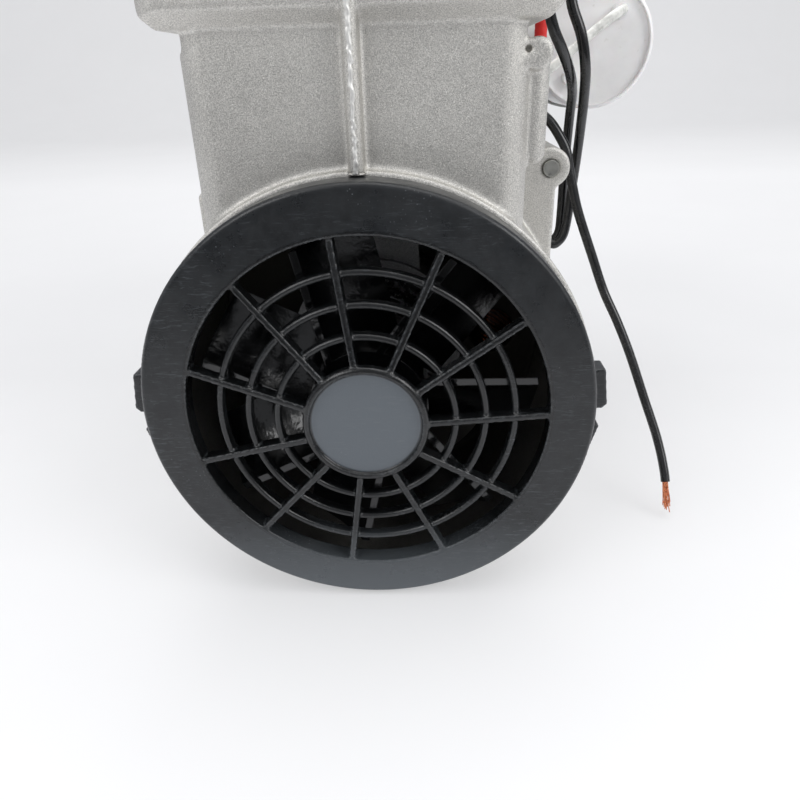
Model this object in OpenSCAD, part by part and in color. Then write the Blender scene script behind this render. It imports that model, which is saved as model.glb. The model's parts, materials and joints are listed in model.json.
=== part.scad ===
/* [Whole pump head] */
// Height of the fan cover above the underside of the foot pads
ground_gap = 1.5; // [1.5:0.5:9]
// Gap that lets one piece drop into another
drop_fit = 0.1; // [0.05:0.05:0.2]
// Radial gap of a running fit
running_fit = 0.03; // [0.02:0.01:0.06]

/* [Fan cover] */
// Diameter of the fan cover
cover_d = 125; // [124:0.5:127]
// Width of the cover's rim round the open grille
rim_w = 12.5; // [11.5:0.5:15]
// Depth of the cover's skirt over the casting
cover_depth = 10; // [9:0.5:12]
// Thickness of the cover's front face
cover_face_t = 3; // [2.5:0.25:3.5]
// Depth of the inner collar round the opening
collar_depth = 6; // [5:0.5:7]
// Thickness of the collar and of the skirt
cover_wall = 2.2; // [1.8:0.1:2.6]
// Diameter of the grille's centre disc
hub_d = 34.5; // [30:0.5:38]
// Diameter of the recess in the centre disc
hub_recess_d = 30.8; // [26:0.2:31]
// Depth of the recess in the centre disc
hub_recess = 1.2; // [0.7:0.1:1.5]
// Thickness of the centre disc
hub_t = 2.8; // [2.4:0.1:3.2]
// How far the centre disc stands proud of the face
hub_proud = 4.6; // [2:0.1:6]
// Number of spokes
spoke_count = 11; // [7:1:15]
// Width of a spoke
spoke_w = 1.8; // [1.4:0.1:2.4]
// Depth of a spoke
spoke_depth = 5.2; // [4:0.1:6]
// Clocking of the spokes away from straight down, in degrees
spoke_turn = -8.2; // [-16:0.1:16]
// Number of rings between hub and opening
ring_count = 3; // [2:1:3]
// Width of a ring
ring_w = 2; // [1.6:0.1:2.4]
// Depth of a ring
ring_depth = 3.2; // [2.6:0.1:3.8]

/* [Crankcase] */
// Wall of the casting's round shell
shell_wall = 5.5; // [5:0.25:6.5]
// How far the flats of the squared end lie inside the shell's radius
square_inset = 4; // [3:0.25:5]
// Length of the squared end
square_length = 38; // [34:1:40]
// How far the neck reaches beyond the bore, across
neck_side = 10.55; // [10.05:0.25:11.55]
// How far the neck reaches beyond the bore, along the shaft
neck_end = 9.15; // [8.65:0.25:10.15]
// Step from the cover's skirt back to the neck's front
neck_step = 2; // [1.5:0.25:3]
// Radius of the neck's corners
neck_corner = 8; // [5:0.5:10]
// Wall of the neck
neck_wall = 5; // [4:0.5:6]
// Gap between the piston's crown at its top and the valve plate
deck_gap = 2; // [1.8:0.1:3]
// Thickness of the flange
flange_t = 12; // [11:0.5:14]
// How far the flange reaches beyond the bore, across
flange_side = 17.05; // [16.55:0.25:18.55]
// How far the flange reaches beyond the bore, along the shaft
flange_end = 13.15; // [12.65:0.25:14.15]
// Bevel round the flange's underside
flange_bevel = 3.8; // [2:0.2:4]
// Width of the cast rib down the neck
rib_w = 3.8; // [3:0.2:5]
// How far a motor bolt lies inside the shell's radius, across and up
bolt_inset = 6; // [5.5:0.25:6.5]
// Radius of an ear round a motor bolt
ear_r = 6.2; // [5.5:0.1:6.5]

/* [Crank gear] */
// Bore of the cylinder
bore_d = 63.7; // [62:0.1:64]
// Throw of the eccentric
throw = 4; // [3:0.25:4.25]
// Height of the piston's crown above the big end's centre
rod_length = 101; // [100:0.5:101.5]
// Diameter of the eccentric's journal
journal_d = 25; // [24:0.5:26]
// Outer diameter of the big end bearing
rod_bearing_d = 47; // [46:0.5:48]
// Width of the big end bearing
rod_bearing_w = 12; // [11:0.5:12]
// Diameter of the shaft at the fans and eccentrics
shaft_end_d = 12; // [11:0.5:12.5]
// Diameter of the shaft in the main bearings
shaft_seat_d = 15; // [14:0.5:16]
// Outer diameter of a main bearing
main_bearing_d = 35; // [34:0.5:36]
// Width of a main bearing
main_bearing_w = 11; // [10:0.5:11]

/* [Motor] */
// Length of the motor's laminations
stack_l = 45; // [42:1:60]
// How far the flats of the laminations lie inside the shell's radius
stator_inset = 1.5; // [1:0.25:2.5]
// Bore of the stator
stator_bore_d = 71; // [70:0.5:72]
// Air gap between rotor and stator
air_gap = 0.4; // [0.3:0.05:0.5]
// Number of stator slots
slot_count = 24; // [12:4:24]
// Number of rotor bars
bar_count = 18; // [12:2:20]

/* [Fan] */
// Gap between the fan's tips and the opening's edge
fan_gap = 2; // [1.5:0.5:5]
// Number of fan blades
blade_count = 7; // [5:1:9]
// Width of a blade along its chord
blade_chord = 26; // [18:1:28]
// Pitch of a blade, in degrees
blade_pitch = 38; // [25:1:42]

/* [Heads] */
// Thickness of the valve plate
valve_plate_t = 5; // [4:0.5:6]
// Height of the cylinder head without its fins
head_body = 14; // [13:0.5:16]
// Height of the head's fins
fin_h = 13; // [8:0.5:16]
// Number of fins on a head
fin_count = 9; // [5:2:11]

/* [Wiring] */
// Outer diameter of a motor lead
lead_d = 3.2; // [2.8:0.1:3.4]
// Diameter of the run capacitor
capacitor_d = 42.6; // [40:0.2:44]
// Length of the run capacitor
capacitor_l = 70; // [60:1:75]

/* [Hidden] */
$fn = 64;

// One length that every cut runs past its piece
overrun = 1;
front = 1;
rear = -1;

// Cover, worked out from its driving sizes
cover_r = cover_d / 2;
opening_r = cover_r - rim_w;
axis_height = cover_r + ground_gap;
cover_bevel = 0.8;
spigot_r = cover_r - cover_wall - drop_fit;
spigot_y = cover_face_t + overrun;
tab_y0 = 3.5;
tab_y1 = cover_depth;
tab_root = cover_r - cover_wall;
tab_reach = 3.4;
tab_nose = 1.4;
tab_tuck = 5.2;
upper_tab = [0.8, 12.6];
lower_tab = [-18.9, -4.4];
ring_behind = 1.7;
full_turn = 360;
quarter_turn = 90;
half_turn = 180;

// Crankcase, in its own frame: y counts from the cover's face and z from the shaft axis
shell_r = cover_r;
shell_inner_r = shell_r - shell_wall;
square_half = shell_r - square_inset;
bolt_half = shell_r - bolt_inset;
bolt_corners = [[1, 1], [1, -1], [-1, -1]];
neck_half = bore_d / 2 + neck_side;
neck_front = cover_depth + neck_step;
cylinder_y = neck_front + bore_d / 2 + neck_end;
shell_y = cover_depth;
rim_band = 1.1;
rim_band_w = 2.4;
bearing_gap = 5;
bearing_y = cylinder_y + rod_bearing_w / 2 + bearing_gap;
boss_lip = 3;
boss_y1 = bearing_y + main_bearing_w + boss_lip;
coil_reach = 17;
coil_room = 5;
case_length = boss_y1 + coil_room + coil_reach;
overall_length = 2 * case_length + stack_l;
half_length = overall_length / 2;
square_y = case_length - square_length;
square_cut_share = 1.316;
square_cut_r = square_cut_share * square_half;
ear_y = square_y;
neck_back = 2 * cylinder_y - neck_front;
neck_len = neck_back - neck_front;
neck_low_share = 0.48;
neck_low = neck_low_share * shell_r;
flange_top = rod_length + throw + deck_gap;
flange_low = flange_top - flange_t;
flange_w = bore_d + 2 * flange_side;
flange_l = bore_d + 2 * flange_end;
cavity_down = 17;
cavity_top = flange_low - cavity_down;
sleeve_l = 23;
sleeve_low = flange_top - sleeve_l;
sleeve_wall = 2.2;
sleeve_r = bore_d / 2 + sleeve_wall;
passage_gap = 0.4;
passage_r = bore_d / 2 + passage_gap;
flange_corner = 6;
flange_front = cylinder_y - flange_l / 2;
relief_h = 4.5;
relief_depth = 1.8;
rib_gap = 0.4;
rib_low = cover_r + rib_gap;
rib_proud = 0.9;
rib_front = flange_front - rib_proud;
web_step = 3;
web_y = bearing_y + web_step;
web_t = 5;
boss_wall = 5.5;
boss_r = main_bearing_d / 2 + boss_wall;
boss_y0 = bearing_y - overrun;
shaft_hole_gap = 3.5;
shaft_hole_r = shaft_seat_d / 2 + shaft_hole_gap;
window_r = 8;
window_circle = (boss_r + shell_inner_r) / 2;
window_count = 6;
screw_m6_r = 3;
screw_m5_r = 2.5;
screw_m4_r = 2;
foot_inset = 18.5;
foot_x = square_half - foot_inset;
foot_back = 19;
foot_y = case_length - foot_back;
foot_r = 9;
foot_sunk = 1.4;
foot_top = sqrt(pow(shell_inner_r, 2) - pow(foot_x, 2)) + foot_sunk;
foot_hole_r = 2.5;
foot_hole_depth = 14;
lug_r = 3.6;
lug_out = 0.8;
lug_x = neck_half + lug_out;
lug_y0 = neck_front + neck_step;
lug_len = 13;
lug_y1 = lug_y0 + lug_len;
lug_down = 7;
lug_z = flange_low - lug_down;
lug_hole_r = 0.9;
lug_hole_shift = 2.2;
ridge_r = 3.2;
ridge_out = 1.4;
ridge_back = 8;
ridge_l = 22;
ridge_x = neck_half + ridge_out;
ridge_y = neck_front + ridge_back;
ridge_low = lug_z - ridge_l;
grommet_w = 7.6;
grommet_l = 14;
grommet_corner = 3;
grommet_flange = 1.5;
grommet_grip = 2;
grommet_back = 16;
grommet_y = case_length - grommet_back;
side_grommet_z = 28;
top_grommet_x = neck_half + grommet_w / 2 + rib_gap;
side_grommet = [square_half, grommet_y, side_grommet_z];
top_grommet = [top_grommet_x, grommet_y, square_half];

// Sleeve, piston and rod
crown_z = rod_length;
cup_gap = 0.35;
cup_r = bore_d / 2 - throw - cup_gap;
cup_t = 1.2;
cup_lip = 2.4;
cup_lip_t = 1;
retainer_gap = 1.2;
retainer_r = cup_r - cup_lip_t - retainer_gap;
retainer_t = 3;
plate_inset = 1;
plate_r = cup_r - plate_inset;
plate_t = 5;
plate_top = crown_z - retainer_t - cup_t;
rod_ring_wall = 4.5;
rod_ring_r = rod_bearing_d / 2 + rod_ring_wall;
rod_ring_w = rod_bearing_w;
blade_root = 16;
blade_tip = 11;
rod_blade_w = 7;
big_end_y = cylinder_y - rod_ring_w / 2;
retainer_head_r = 4.6;
retainer_head = 2;
retainer_screw_len = 12;
retainer_socket_r = 2;

// Crank
weight_gap = 17;
weight_r = shell_inner_r - weight_gap;
weight_t = 9;
weight_angle = 62;
weight_hub_r = 15;
journal_gap = 0.6;
shield_cut = 0.8;
weight_y = big_end_y - journal_gap - weight_t;
set_screw_r = 2.5;
set_screw_len = 6.5;
set_socket_r = 1.4;

// Shaft and fan
shaft_step = 1;
shaft_mid_d = shaft_seat_d + 2 * shaft_step;
shaft_tip_y = 2.5;
seat_end_y = bearing_y + main_bearing_w;
fan_y = 7.5;
fan_r = opening_r - fan_gap;
fan_hub_r = 17;
fan_hub_l = 16;
fan_nut_r = 8;
fan_nut_h = 4.5;
blade_t = 1.8;
blade_camber_r = 34;

// Motor
stator_half = shell_r - stator_inset;
bolt_wall = 4.1;
stator_cut_r = bolt_half * sqrt(2) + bolt_wall;
motor_bolt_head_r = 4.6;
motor_bolt_head = 3.6;
motor_bolt_tip = 0.8;
stator_bore_r = stator_bore_d / 2;
tooth_tip = 2.2;
yoke = 9.5;
slot_r0 = stator_bore_r + tooth_tip;
slot_r1 = stator_half - yoke;
slot_w = 5.4;
slot_mouth = 2;
liner = 0.25;
coil_r0 = slot_r0 + liner;
coil_spread = 2.5;
coil_r1 = slot_r1 + coil_spread;
coil_corner = 3;
rotor_r = stator_bore_r - air_gap;
bar_r = 2;
bar_inset = 4.5;
cage_width = 11;
bar_circle = rotor_r - bar_inset;
cage_inner_r = rotor_r - cage_width;
cage_l = 6;
cage_fin_t = 2;
cage_fin_l = 5;

// Heads, z from the shaft axis
gasket_t = 0.8;
plate_z = flange_top;
gasket_z = plate_z + valve_plate_t;
head_z = gasket_z + gasket_t;
head_side_inset = 2.9;
head_end_inset = 1;
head_w = flange_w - 2 * head_side_inset;
head_l = flange_l - 2 * head_end_inset;
head_corner = 5;
fin_z = head_z + head_body;
fin_t = 2.6;
head_bolt_edge = 7;
head_bolt_side = 5.5;
head_bolt_x = head_w / 2 - head_bolt_side;
head_bolt_y = flange_l / 2 - head_bolt_edge;
head_bolt_boss_r = 6.2;
head_bolt_depth = 11;
head_screw_head_r = 5;
head_screw_head = 6;
head_socket_r = 2.9;
head_screw_seat = fin_z - head_screw_head / 3;
pocket_w = 24;
pocket_l = 56;
pocket_h = 10;
pocket_x = 17;
pocket_corner = 5;
port_r = 4;
port_x = 14;
reed_l = 44;
reed_w = 14;
reed_t = 0.4;
reed_relief = 0.9;
reed_gap = 0.3;
rivet_inset = 4;
reed_root = reed_l / 2 - rivet_inset;
rivet_r = 1.6;
rivet_gap = 0.15;
rivet_head_r = 2.6;
rivet_head = 1;
seal_out = 1.6;
seal_r = sleeve_r + seal_out;
seal_w = 2;
seal_h = 1.6;
pipe_x = -pocket_x;
pipe_up = 6;
pipe_z = head_z + pipe_up;
pipe_r = 4;
pipe_bore_r = 3;
pipe_nut_r = 7.5;
pipe_nut_l = 8;
port_wall = 1.5;
port_boss_r = pipe_r + port_wall;
port_boss_l = 4;
outlet_y = cylinder_y;
outlet_port_r = 3.5;
intake_inset = 18;
intake_y = cylinder_y - intake_inset;
intake_port_r = 4.2;
intake_stem_wall = 1.2;
outlet_len = 24;
outlet_r = 6.5;
outlet_hex_r = 9.5;
outlet_hex_l = 7;
outlet_wall = 1;
outlet_bore_r = outlet_port_r - outlet_wall;
outlet_bevel = 0.8;
filter_gap = 6;
filter_r = 15;
filter_l = 20;
filter_wall = 1.6;
filter_cap_l = 4;
filter_cap_r = filter_r + filter_wall / 2;
filter_rib_count = 16;
filter_rib = 1.2;
filter_slot_w = 2;
filter_slot_count = 8;
filter_slot_r0 = 4;
filter_slot_r1 = 11.5;
felt_gap = 0.3;

// Capacitor and leads
can_r = capacitor_d / 2;
can_side = 8.3;
can_down = 3;
can_back = 17;
can_x = flange_w / 2 + can_side + can_r;
can_z = flange_low - can_down;
can_y = cylinder_y + flange_l / 2 + can_back;
can_lip = 1.4;
can_dish = 1.6;
lead_r = lead_d / 2;
can_edge = 2;
exit_dx = 8;
exit_dz = 10.5;
exit_boss_r = 2.6;
exit_boss = 1.2;
band_t = 1;
band_w = 14;
band_step = 3;
band_y = overall_length - cylinder_y - flange_l / 2 + band_step;
band_ear_x = flange_w / 2;
band_screw_up = 5.5;
band_screw_z = flange_low + band_screw_up;
band_screw_x = band_ear_x + band_t;
switch_back = 9;
switch_y = cylinder_y + switch_back;
switch_up = 7.6;
switch_z = head_z + switch_up;
switch_r = 8;
switch_l = 9;
switch_plate_t = 1.2;
switch_plate_w = 14;
switch_plate_half = 15;
tongue_l = 6;
tongue_half_w = 3.15;
tongue_t = 0.8;
tongue_shift = 4.2;
small_head_r = 2.8;
small_head_h = 1.8;
switch_screw_inset = 3.5;
splice_wall = 0.5;

// Routes of the leads, in the front crankcase's frame
lead_a_route = [
    [60, 87, 28], [61.8, 87, 28], [63.6, 87, 28], [65.6, 87.4, 31], [66, 88, 38], [66, 88.4, 50],
    [66, 87.6, 62], [65.6, 84.5, 71], [64.6, 78.5, 77.4], [61.8, 70, 83], [57.6, 62, 89], [53.8, 58.8, 95],
    [51.8, 57.8, 101], [52.6, 57.8, 105.4], [55.4, 57.8, 109], [57.7, 57.8, 111.4], [58.4, 57.8, 114],
    [58.4, 57.8, 117], [58.4, 57.8, 120]
];
lead_b_route = [
    [60, 81, 28], [61.8, 81, 28], [63.6, 81, 28], [66.2, 81.6, 31], [67.6, 83.2, 38], [68.4, 84, 48],
    [68.7, 82.6, 57], [68.3, 78.8, 66], [67.4, 73.5, 75], [65.8, 67.4, 84], [63.4, 65.4, 93],
    [60, 65.8, 101], [59, 66.2, 107], [58.4, 66.2, 112.6], [58.4, 66.2, 116.4], [58.4, 66.2, 120]
];
free_route = [
    [46.6, 80, 60], [46.6, 80, 62], [46.6, 80, 64.2], [47.3, 80, 68], [50, 80, 71.4], [54.2, 79.8, 71.8],
    [58.2, 79.2, 69], [61.6, 78.4, 64.4], [64, 77.6, 60], [65.3, 77, 54.8], [67, 76.2, 48], [69.6, 75.4, 39.5],
    [75.6, 74, 24.5], [80.4, 72, 12.5], [85.4, 68.4, 2.4], [90.4, 64.8, -9], [96, 60, -24],
    [101, 54, -38], [103.4, 48, -49], [103.8, 43.5, -57], [103.8, 41.5, -60.5], [103.8, 40.8, -62]
];
capacitor_route = [
    [86.5, 113.8, 102.5], [86.5, 112.2, 102.5], [86.5, 110.6, 102.5], [83, 107, 101], [76, 103, 96.5],
    [69, 99.5, 91.5], [63, 97, 87], [58.6, 95.6, 84.2], [56.2, 95.2, 84.6], [55.8, 95.2, 86.8],
    [55.8, 95.2, 88.9], [55.8, 95.2, 91]
];
splice_route = [[55.8, 95.2, 91], [55.8, 95.2, 97], [55.8, 95.2, 103]];
link_route = [
    [55.8, 95.2, 103], [55.8, 95.2, 104.8], [55.8, 95.2, 106.6], [54.8, 96, 109.2], [53, 98, 109.8],
    [51.2, 100.5, 107], [50.2, 102, 101], [49, 101.5, 90], [47.4, 99, 78], [46.6, 94, 70.8],
    [46.6, 89.8, 68], [46.6, 88, 65], [46.6, 88, 62.5], [46.6, 88, 60]
];

// Cylinder along y between two places
module rod_y(r, y0, y1) {
    translate([0, y0, 0]) rotate([-quarter_turn, 0, 0]) cylinder(r = r, h = y1 - y0);
}

// Flat outline in x and z, thickened along y
module plate_y(y0, y1) {
    translate([0, y1, 0]) rotate([quarter_turn, 0, 0]) linear_extrude(y1 - y0) children();
}

// Profile in radius and y, turned round the shaft axis
module turned_y() {
    rotate([-quarter_turn, 0, 0]) rotate_extrude() children();
}

// Rectangle with round corners, in the middle of its place
module round_rect(w, l, r) {
    square([w - 2 * r, l], center = true);
    square([w, l - 2 * r], center = true);
    for (sx = [-1, 1], sy = [-1, 1])
        translate([sx * (w / 2 - r), sy * (l / 2 - r)]) circle(r);
}

// Place of one end's own frame: the rear end is the front end turned about
module at_end(side) {
    rotate([0, 0, side == front ? 0 : half_turn]) translate([0, -half_length, axis_height]) children();
}

// Place of an end's parts that are handed, such as a fan
module at_mirrored_end(side) {
    mirror([0, side == front ? 0 : 1, 0]) translate([0, -half_length, axis_height]) children();
}

// Places of the four screws of a head
module at_head_screws() {
    for (sx = [-1, 1], sy = [-1, 1]) translate([sx * head_bolt_x, cylinder_y + sy * head_bolt_y, 0]) children();
}

// Fan cover with its grille
function spoke_angle(k) = -quarter_turn + spoke_turn + k * full_turn / spoke_count;
function ring_r(k) = hub_d / 2 + (k + 1) * (opening_r - hub_d / 2) / (ring_count + 1) - ring_w / 2;
function face_y(r) = -hub_proud * (opening_r - r) / (opening_r - hub_d / 2);

module cover_ring() {
    turned_y() polygon([
        [opening_r, 0], [cover_r - cover_bevel, 0], [cover_r, cover_bevel], [cover_r, cover_depth],
        [cover_r - cover_wall, cover_depth], [cover_r - cover_wall, cover_face_t],
        [opening_r + cover_wall, cover_face_t], [opening_r + cover_wall, collar_depth], [opening_r, collar_depth]
    ]);
}

module cover_hub() {
    turned_y() polygon([
        [0, hub_recess - hub_proud], [hub_recess_d / 2, hub_recess - hub_proud], [hub_recess_d / 2, -hub_proud],
        [hub_d / 2 - cover_bevel, -hub_proud], [hub_d / 2, cover_bevel - hub_proud],
        [hub_d / 2, hub_t - hub_proud], [0, hub_t - hub_proud]
    ]);
}

module cover_spoke() {
    root = hub_d / 2 - overrun;
    tip = opening_r + cover_wall / 2;
    translate([0, 0, -spoke_w / 2]) linear_extrude(spoke_w) polygon([
        [root, cover_bevel - hub_proud], [tip, cover_bevel], [tip, collar_depth - cover_bevel],
        [root, spoke_depth - hub_proud]
    ]);
}

module cover_grille_ring(k) {
    turned_y() translate([ring_r(k), face_y(ring_r(k)) + ring_behind + ring_w / 2]) {
        circle(ring_w / 2);
        translate([-ring_w / 2, 0]) square([ring_w, ring_depth - ring_w / 2]);
    }
}

// Two latch tabs on one flank, upper and lower
module cover_tabs() {
    reach = cover_r + tab_reach;
    plate_y(tab_y0, tab_y1) difference() {
        union() {
            polygon([
                [tab_root, upper_tab[1]], [reach - tab_nose, upper_tab[1]], [reach, upper_tab[0] + tab_nose],
                [reach - tab_nose, upper_tab[0]], [tab_root, upper_tab[0]]
            ]);
            polygon([
                [tab_root - tab_tuck, lower_tab[1]], [reach - tab_nose, lower_tab[1]],
                [reach - tab_tuck, lower_tab[0] + tab_nose], [reach - tab_tuck - tab_nose, lower_tab[0]],
                [tab_root - tab_tuck, lower_tab[0]]
            ]);
        }
        circle(tab_root + cover_wall / 2);
    }
}

module fan_cover() {
    cover_ring();
    cover_hub();
    for (k = [0 : spoke_count - 1]) rotate([0, -spoke_angle(k), 0]) cover_spoke();
    for (k = [0 : ring_count - 1]) cover_grille_ring(k);
    for (m = [0, 1]) mirror([m, 0, 0]) cover_tabs();
}

// Crankcase casting
module case_square_outline(side) {
    intersection() {
        square(2 * square_half, center = true);
        circle(square_cut_r);
    }
    for (c = bolt_corners) translate([side * c[0] * bolt_half, c[1] * bolt_half]) circle(ear_r);
}

module flange_block() {
    bevel_cut = flange_bevel * sqrt(2);
    difference() {
        translate([0, cylinder_y, flange_low]) linear_extrude(flange_t)
            round_rect(flange_w, flange_l, flange_corner);
        for (s = [-1, 1]) {
            translate([s * flange_w / 2, cylinder_y, flange_low]) rotate([0, quarter_turn / 2, 0])
                cube([bevel_cut, flange_l + 2 * overrun, bevel_cut], center = true);
            translate([0, cylinder_y + s * flange_l / 2, flange_low]) rotate([quarter_turn / 2, 0, 0])
                cube([flange_w + 2 * overrun, bevel_cut, bevel_cut], center = true);
        }
    }
}

module neck_block() {
    difference() {
        translate([0, cylinder_y, neck_low]) linear_extrude(flange_low - neck_low + flange_bevel)
            round_rect(2 * neck_half, neck_len, neck_corner);
        for (s = [-1, 1]) translate([s * (neck_half + relief_depth), cylinder_y, flange_low - relief_h / 2])
            cube([4 * relief_depth, neck_len + overrun, relief_h], center = true);
    }
}

module neck_rib() {
    rib_r = rib_w / 2;
    translate([-rib_r, rib_front + rib_r, rib_low]) cube([rib_w, neck_front - rib_front, flange_top - rib_low]);
    translate([0, rib_front + rib_r, rib_low]) cylinder(r = rib_r, h = flange_top - rib_low);
}

module flank_ridge() {
    translate([ridge_x, ridge_y, ridge_low]) {
        cylinder(r = ridge_r, h = lug_z - ridge_low);
        sphere(ridge_r);
    }
    translate([lug_x, 0, lug_z]) rod_y(lug_r, lug_y0, lug_y1);
}

module crankcase(side) {
    difference() {
        union() {
            rod_y(spigot_r, spigot_y, shell_y + overrun);
            rod_y(shell_r, shell_y + drop_fit, case_length);
            rod_y(shell_r + rim_band, shell_y + drop_fit, shell_y + rim_band_w);
            plate_y(square_y, case_length) case_square_outline(side);
            neck_block();
            flange_block();
            neck_rib();
            flank_ridge();
            for (sx = [-1, 1]) translate([sx * foot_x, foot_y, -axis_height])
                cylinder(r = foot_r, h = axis_height - foot_top);
        }
        rod_y(shell_inner_r, spigot_y - overrun, case_length + overrun);
        difference() {
            translate([0, cylinder_y, 0]) linear_extrude(cavity_top)
                round_rect(2 * (neck_half - neck_wall), neck_len - 2 * neck_wall, neck_corner - neck_wall / 2);
            rod_y(shell_inner_r + overrun, web_y, case_length);
        }
        translate([0, cylinder_y, 0]) cylinder(r = passage_r, h = flange_top);
        translate([0, cylinder_y, sleeve_low]) cylinder(r = sleeve_r + drop_fit, h = flange_top);
        translate([0, cylinder_y, flange_top - seal_h]) cylinder(r = seal_r + seal_w, h = seal_h + overrun);
        at_head_screws() translate([0, 0, flange_top - head_bolt_depth]) cylinder(r = screw_m6_r, h = flange_t);
        for (c = bolt_corners) translate([side * c[0] * bolt_half, 0, c[1] * bolt_half])
            rod_y(screw_m5_r, ear_y - overrun, case_length + overrun);
        for (sx = [-1, 1]) translate([sx * foot_x, foot_y, -axis_height - overrun])
            cylinder(r = foot_hole_r, h = foot_hole_depth + overrun);
        translate([lug_x - lug_hole_shift, lug_y0 - overrun, lug_z + lug_hole_shift / 2])
            rod_y(lug_hole_r, 0, lug_r);
        translate(side_grommet) rotate([0, quarter_turn, 0]) grommet_stem(square_half / 2, overrun);
        translate(top_grommet) grommet_stem(square_half / 2, overrun);
    }
    bearing_web();
}

module bearing_web() {
    difference() {
        union() {
            rod_y(shell_inner_r + overrun / 2, web_y, web_y + web_t);
            rod_y(boss_r, boss_y0, boss_y1);
        }
        rod_y(main_bearing_d / 2, boss_y0 - overrun, bearing_y + main_bearing_w);
        rod_y(shaft_hole_r, boss_y0, boss_y1 + overrun);
        for (k = [0 : window_count - 1]) rotate([0, k * full_turn / window_count, 0])
            translate([window_circle, 0, 0]) rod_y(window_r, web_y - overrun, web_y + web_t + overrun);
    }
}

// Cylinder sleeve and its seal
module cylinder_sleeve() {
    translate([0, cylinder_y, sleeve_low]) difference() {
        cylinder(r = sleeve_r, h = flange_top - sleeve_low);
        translate([0, 0, -overrun]) cylinder(r = bore_d / 2, h = flange_top);
    }
}

module sleeve_seal() {
    translate([0, cylinder_y, flange_top - seal_h]) difference() {
        cylinder(r = seal_r + seal_w, h = seal_h);
        translate([0, 0, -overrun]) cylinder(r = seal_r, h = seal_h + 2 * overrun);
    }
}

// Rod, piston cup and retainer, drawn round the big end's centre
module at_big_end(side) {
    at_end(side) translate([0, 0, (side == front ? 1 : -1) * throw]) children();
}

module connecting_rod() {
    difference() {
        union() {
            rod_y(rod_ring_r, big_end_y, big_end_y + rod_ring_w);
            plate_y(cylinder_y - rod_blade_w / 2, cylinder_y + rod_blade_w / 2)
                polygon([
                    [-blade_root, 0], [blade_root, 0], [blade_tip, plate_top - plate_t],
                    [-blade_tip, plate_top - plate_t]
                ]);
            translate([0, cylinder_y, plate_top - plate_t]) cylinder(r = plate_r, h = plate_t);
        }
        rod_y(rod_bearing_d / 2, big_end_y - overrun, big_end_y + rod_ring_w + overrun);
        translate([0, cylinder_y, crown_z - retainer_head - retainer_screw_len])
            cylinder(r = screw_m5_r, h = retainer_screw_len);
    }
}

module rod_bearing() {
    mid_r = (journal_d + rod_bearing_d) / 4;
    difference() {
        rod_y(rod_bearing_d / 2, big_end_y, big_end_y + rod_bearing_w);
        rod_y(journal_d / 2 + running_fit, big_end_y - overrun, big_end_y + rod_bearing_w + overrun);
        for (y = [big_end_y, big_end_y + rod_bearing_w]) bearing_shield_cut(mid_r, y);
    }
}

// Shallow ring round a bearing's shield, on one face
module bearing_shield_cut(mid_r, y) {
    difference() {
        rod_y(mid_r + 2 * shield_cut, y - shield_cut / 2, y + shield_cut / 2);
        rod_y(mid_r - 2 * shield_cut, y - shield_cut, y + shield_cut);
    }
}

module piston_cup() {
    translate([0, cylinder_y, plate_top]) difference() {
        cylinder(r = cup_r, h = cup_t + cup_lip);
        translate([0, 0, cup_t]) cylinder(r = cup_r - cup_lip_t, h = cup_lip + overrun);
        translate([0, 0, -overrun]) cylinder(r = screw_m5_r, h = cup_t + 2 * overrun);
    }
}

module cup_retainer() {
    translate([0, cylinder_y, crown_z - retainer_t]) difference() {
        cylinder(r = retainer_r, h = retainer_t);
        translate([0, 0, retainer_t - retainer_head])
            cylinder(r = retainer_head_r + drop_fit, h = retainer_head + overrun);
        translate([0, 0, -overrun]) cylinder(r = screw_m5_r, h = retainer_t);
    }
}

module retainer_screw() {
    translate([0, cylinder_y, crown_z - retainer_head]) difference() {
        union() {
            cylinder(r = retainer_head_r, h = retainer_head - drop_fit);
            translate([0, 0, -retainer_screw_len]) cylinder(r = screw_m5_r, h = retainer_screw_len);
        }
        translate([0, 0, retainer_head / 2]) cylinder(r = retainer_socket_r, h = retainer_head, $fn = 6);
    }
}

// Eccentric with its counterweight, for the front end with the throw up
module eccentric(side) {
    lift = (side == front ? 1 : -1) * throw;
    difference() {
        union() {
            translate([0, 0, lift]) rod_y(journal_d / 2, weight_y + weight_t - overrun,
                big_end_y + rod_bearing_w);
            rod_y(weight_hub_r, weight_y, weight_y + weight_t);
            intersection() {
                rod_y(weight_r, weight_y, weight_y + weight_t);
                plate_y(weight_y, weight_y + weight_t) polygon([
                    [0, 0], [-weight_r, -sign(lift) * weight_r * cos(weight_angle)],
                    [-weight_r, -sign(lift) * 2 * weight_r], [weight_r, -sign(lift) * 2 * weight_r],
                    [weight_r, -sign(lift) * weight_r * cos(weight_angle)]
                ]);
            }
        }
        rod_y(shaft_end_d / 2, weight_y - overrun, big_end_y + rod_bearing_w + overrun);
        translate([0, weight_y + weight_t / 2, 0]) rotate([0, sign(lift) > 0 ? 0 : half_turn, 0])
            cylinder(r = set_screw_r, h = weight_hub_r + overrun);
    }
}

module eccentric_set_screw(side) {
    translate([0, weight_y + weight_t / 2, 0]) rotate([0, side == front ? 0 : half_turn, 0])
        translate([0, 0, shaft_end_d / 2]) difference() {
            cylinder(r = set_screw_r, h = set_screw_len);
            translate([0, 0, set_screw_len / 2]) cylinder(r = set_socket_r, h = set_screw_len, $fn = 6);
        }
}

// Shaft, whole, along y about the middle of the motor
module shaft_solid() {
    translate([0, 0, axis_height]) {
        reach = half_length - shaft_tip_y;
        seat_out = half_length - bearing_y + drop_fit;
        seat_in = half_length - seat_end_y;
        rod_y(shaft_end_d / 2, -reach, reach);
        rod_y(shaft_seat_d / 2 - running_fit, -seat_out, seat_out);
        rod_y(shaft_mid_d / 2, -seat_in + overrun, seat_in - overrun);
    }
}

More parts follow.
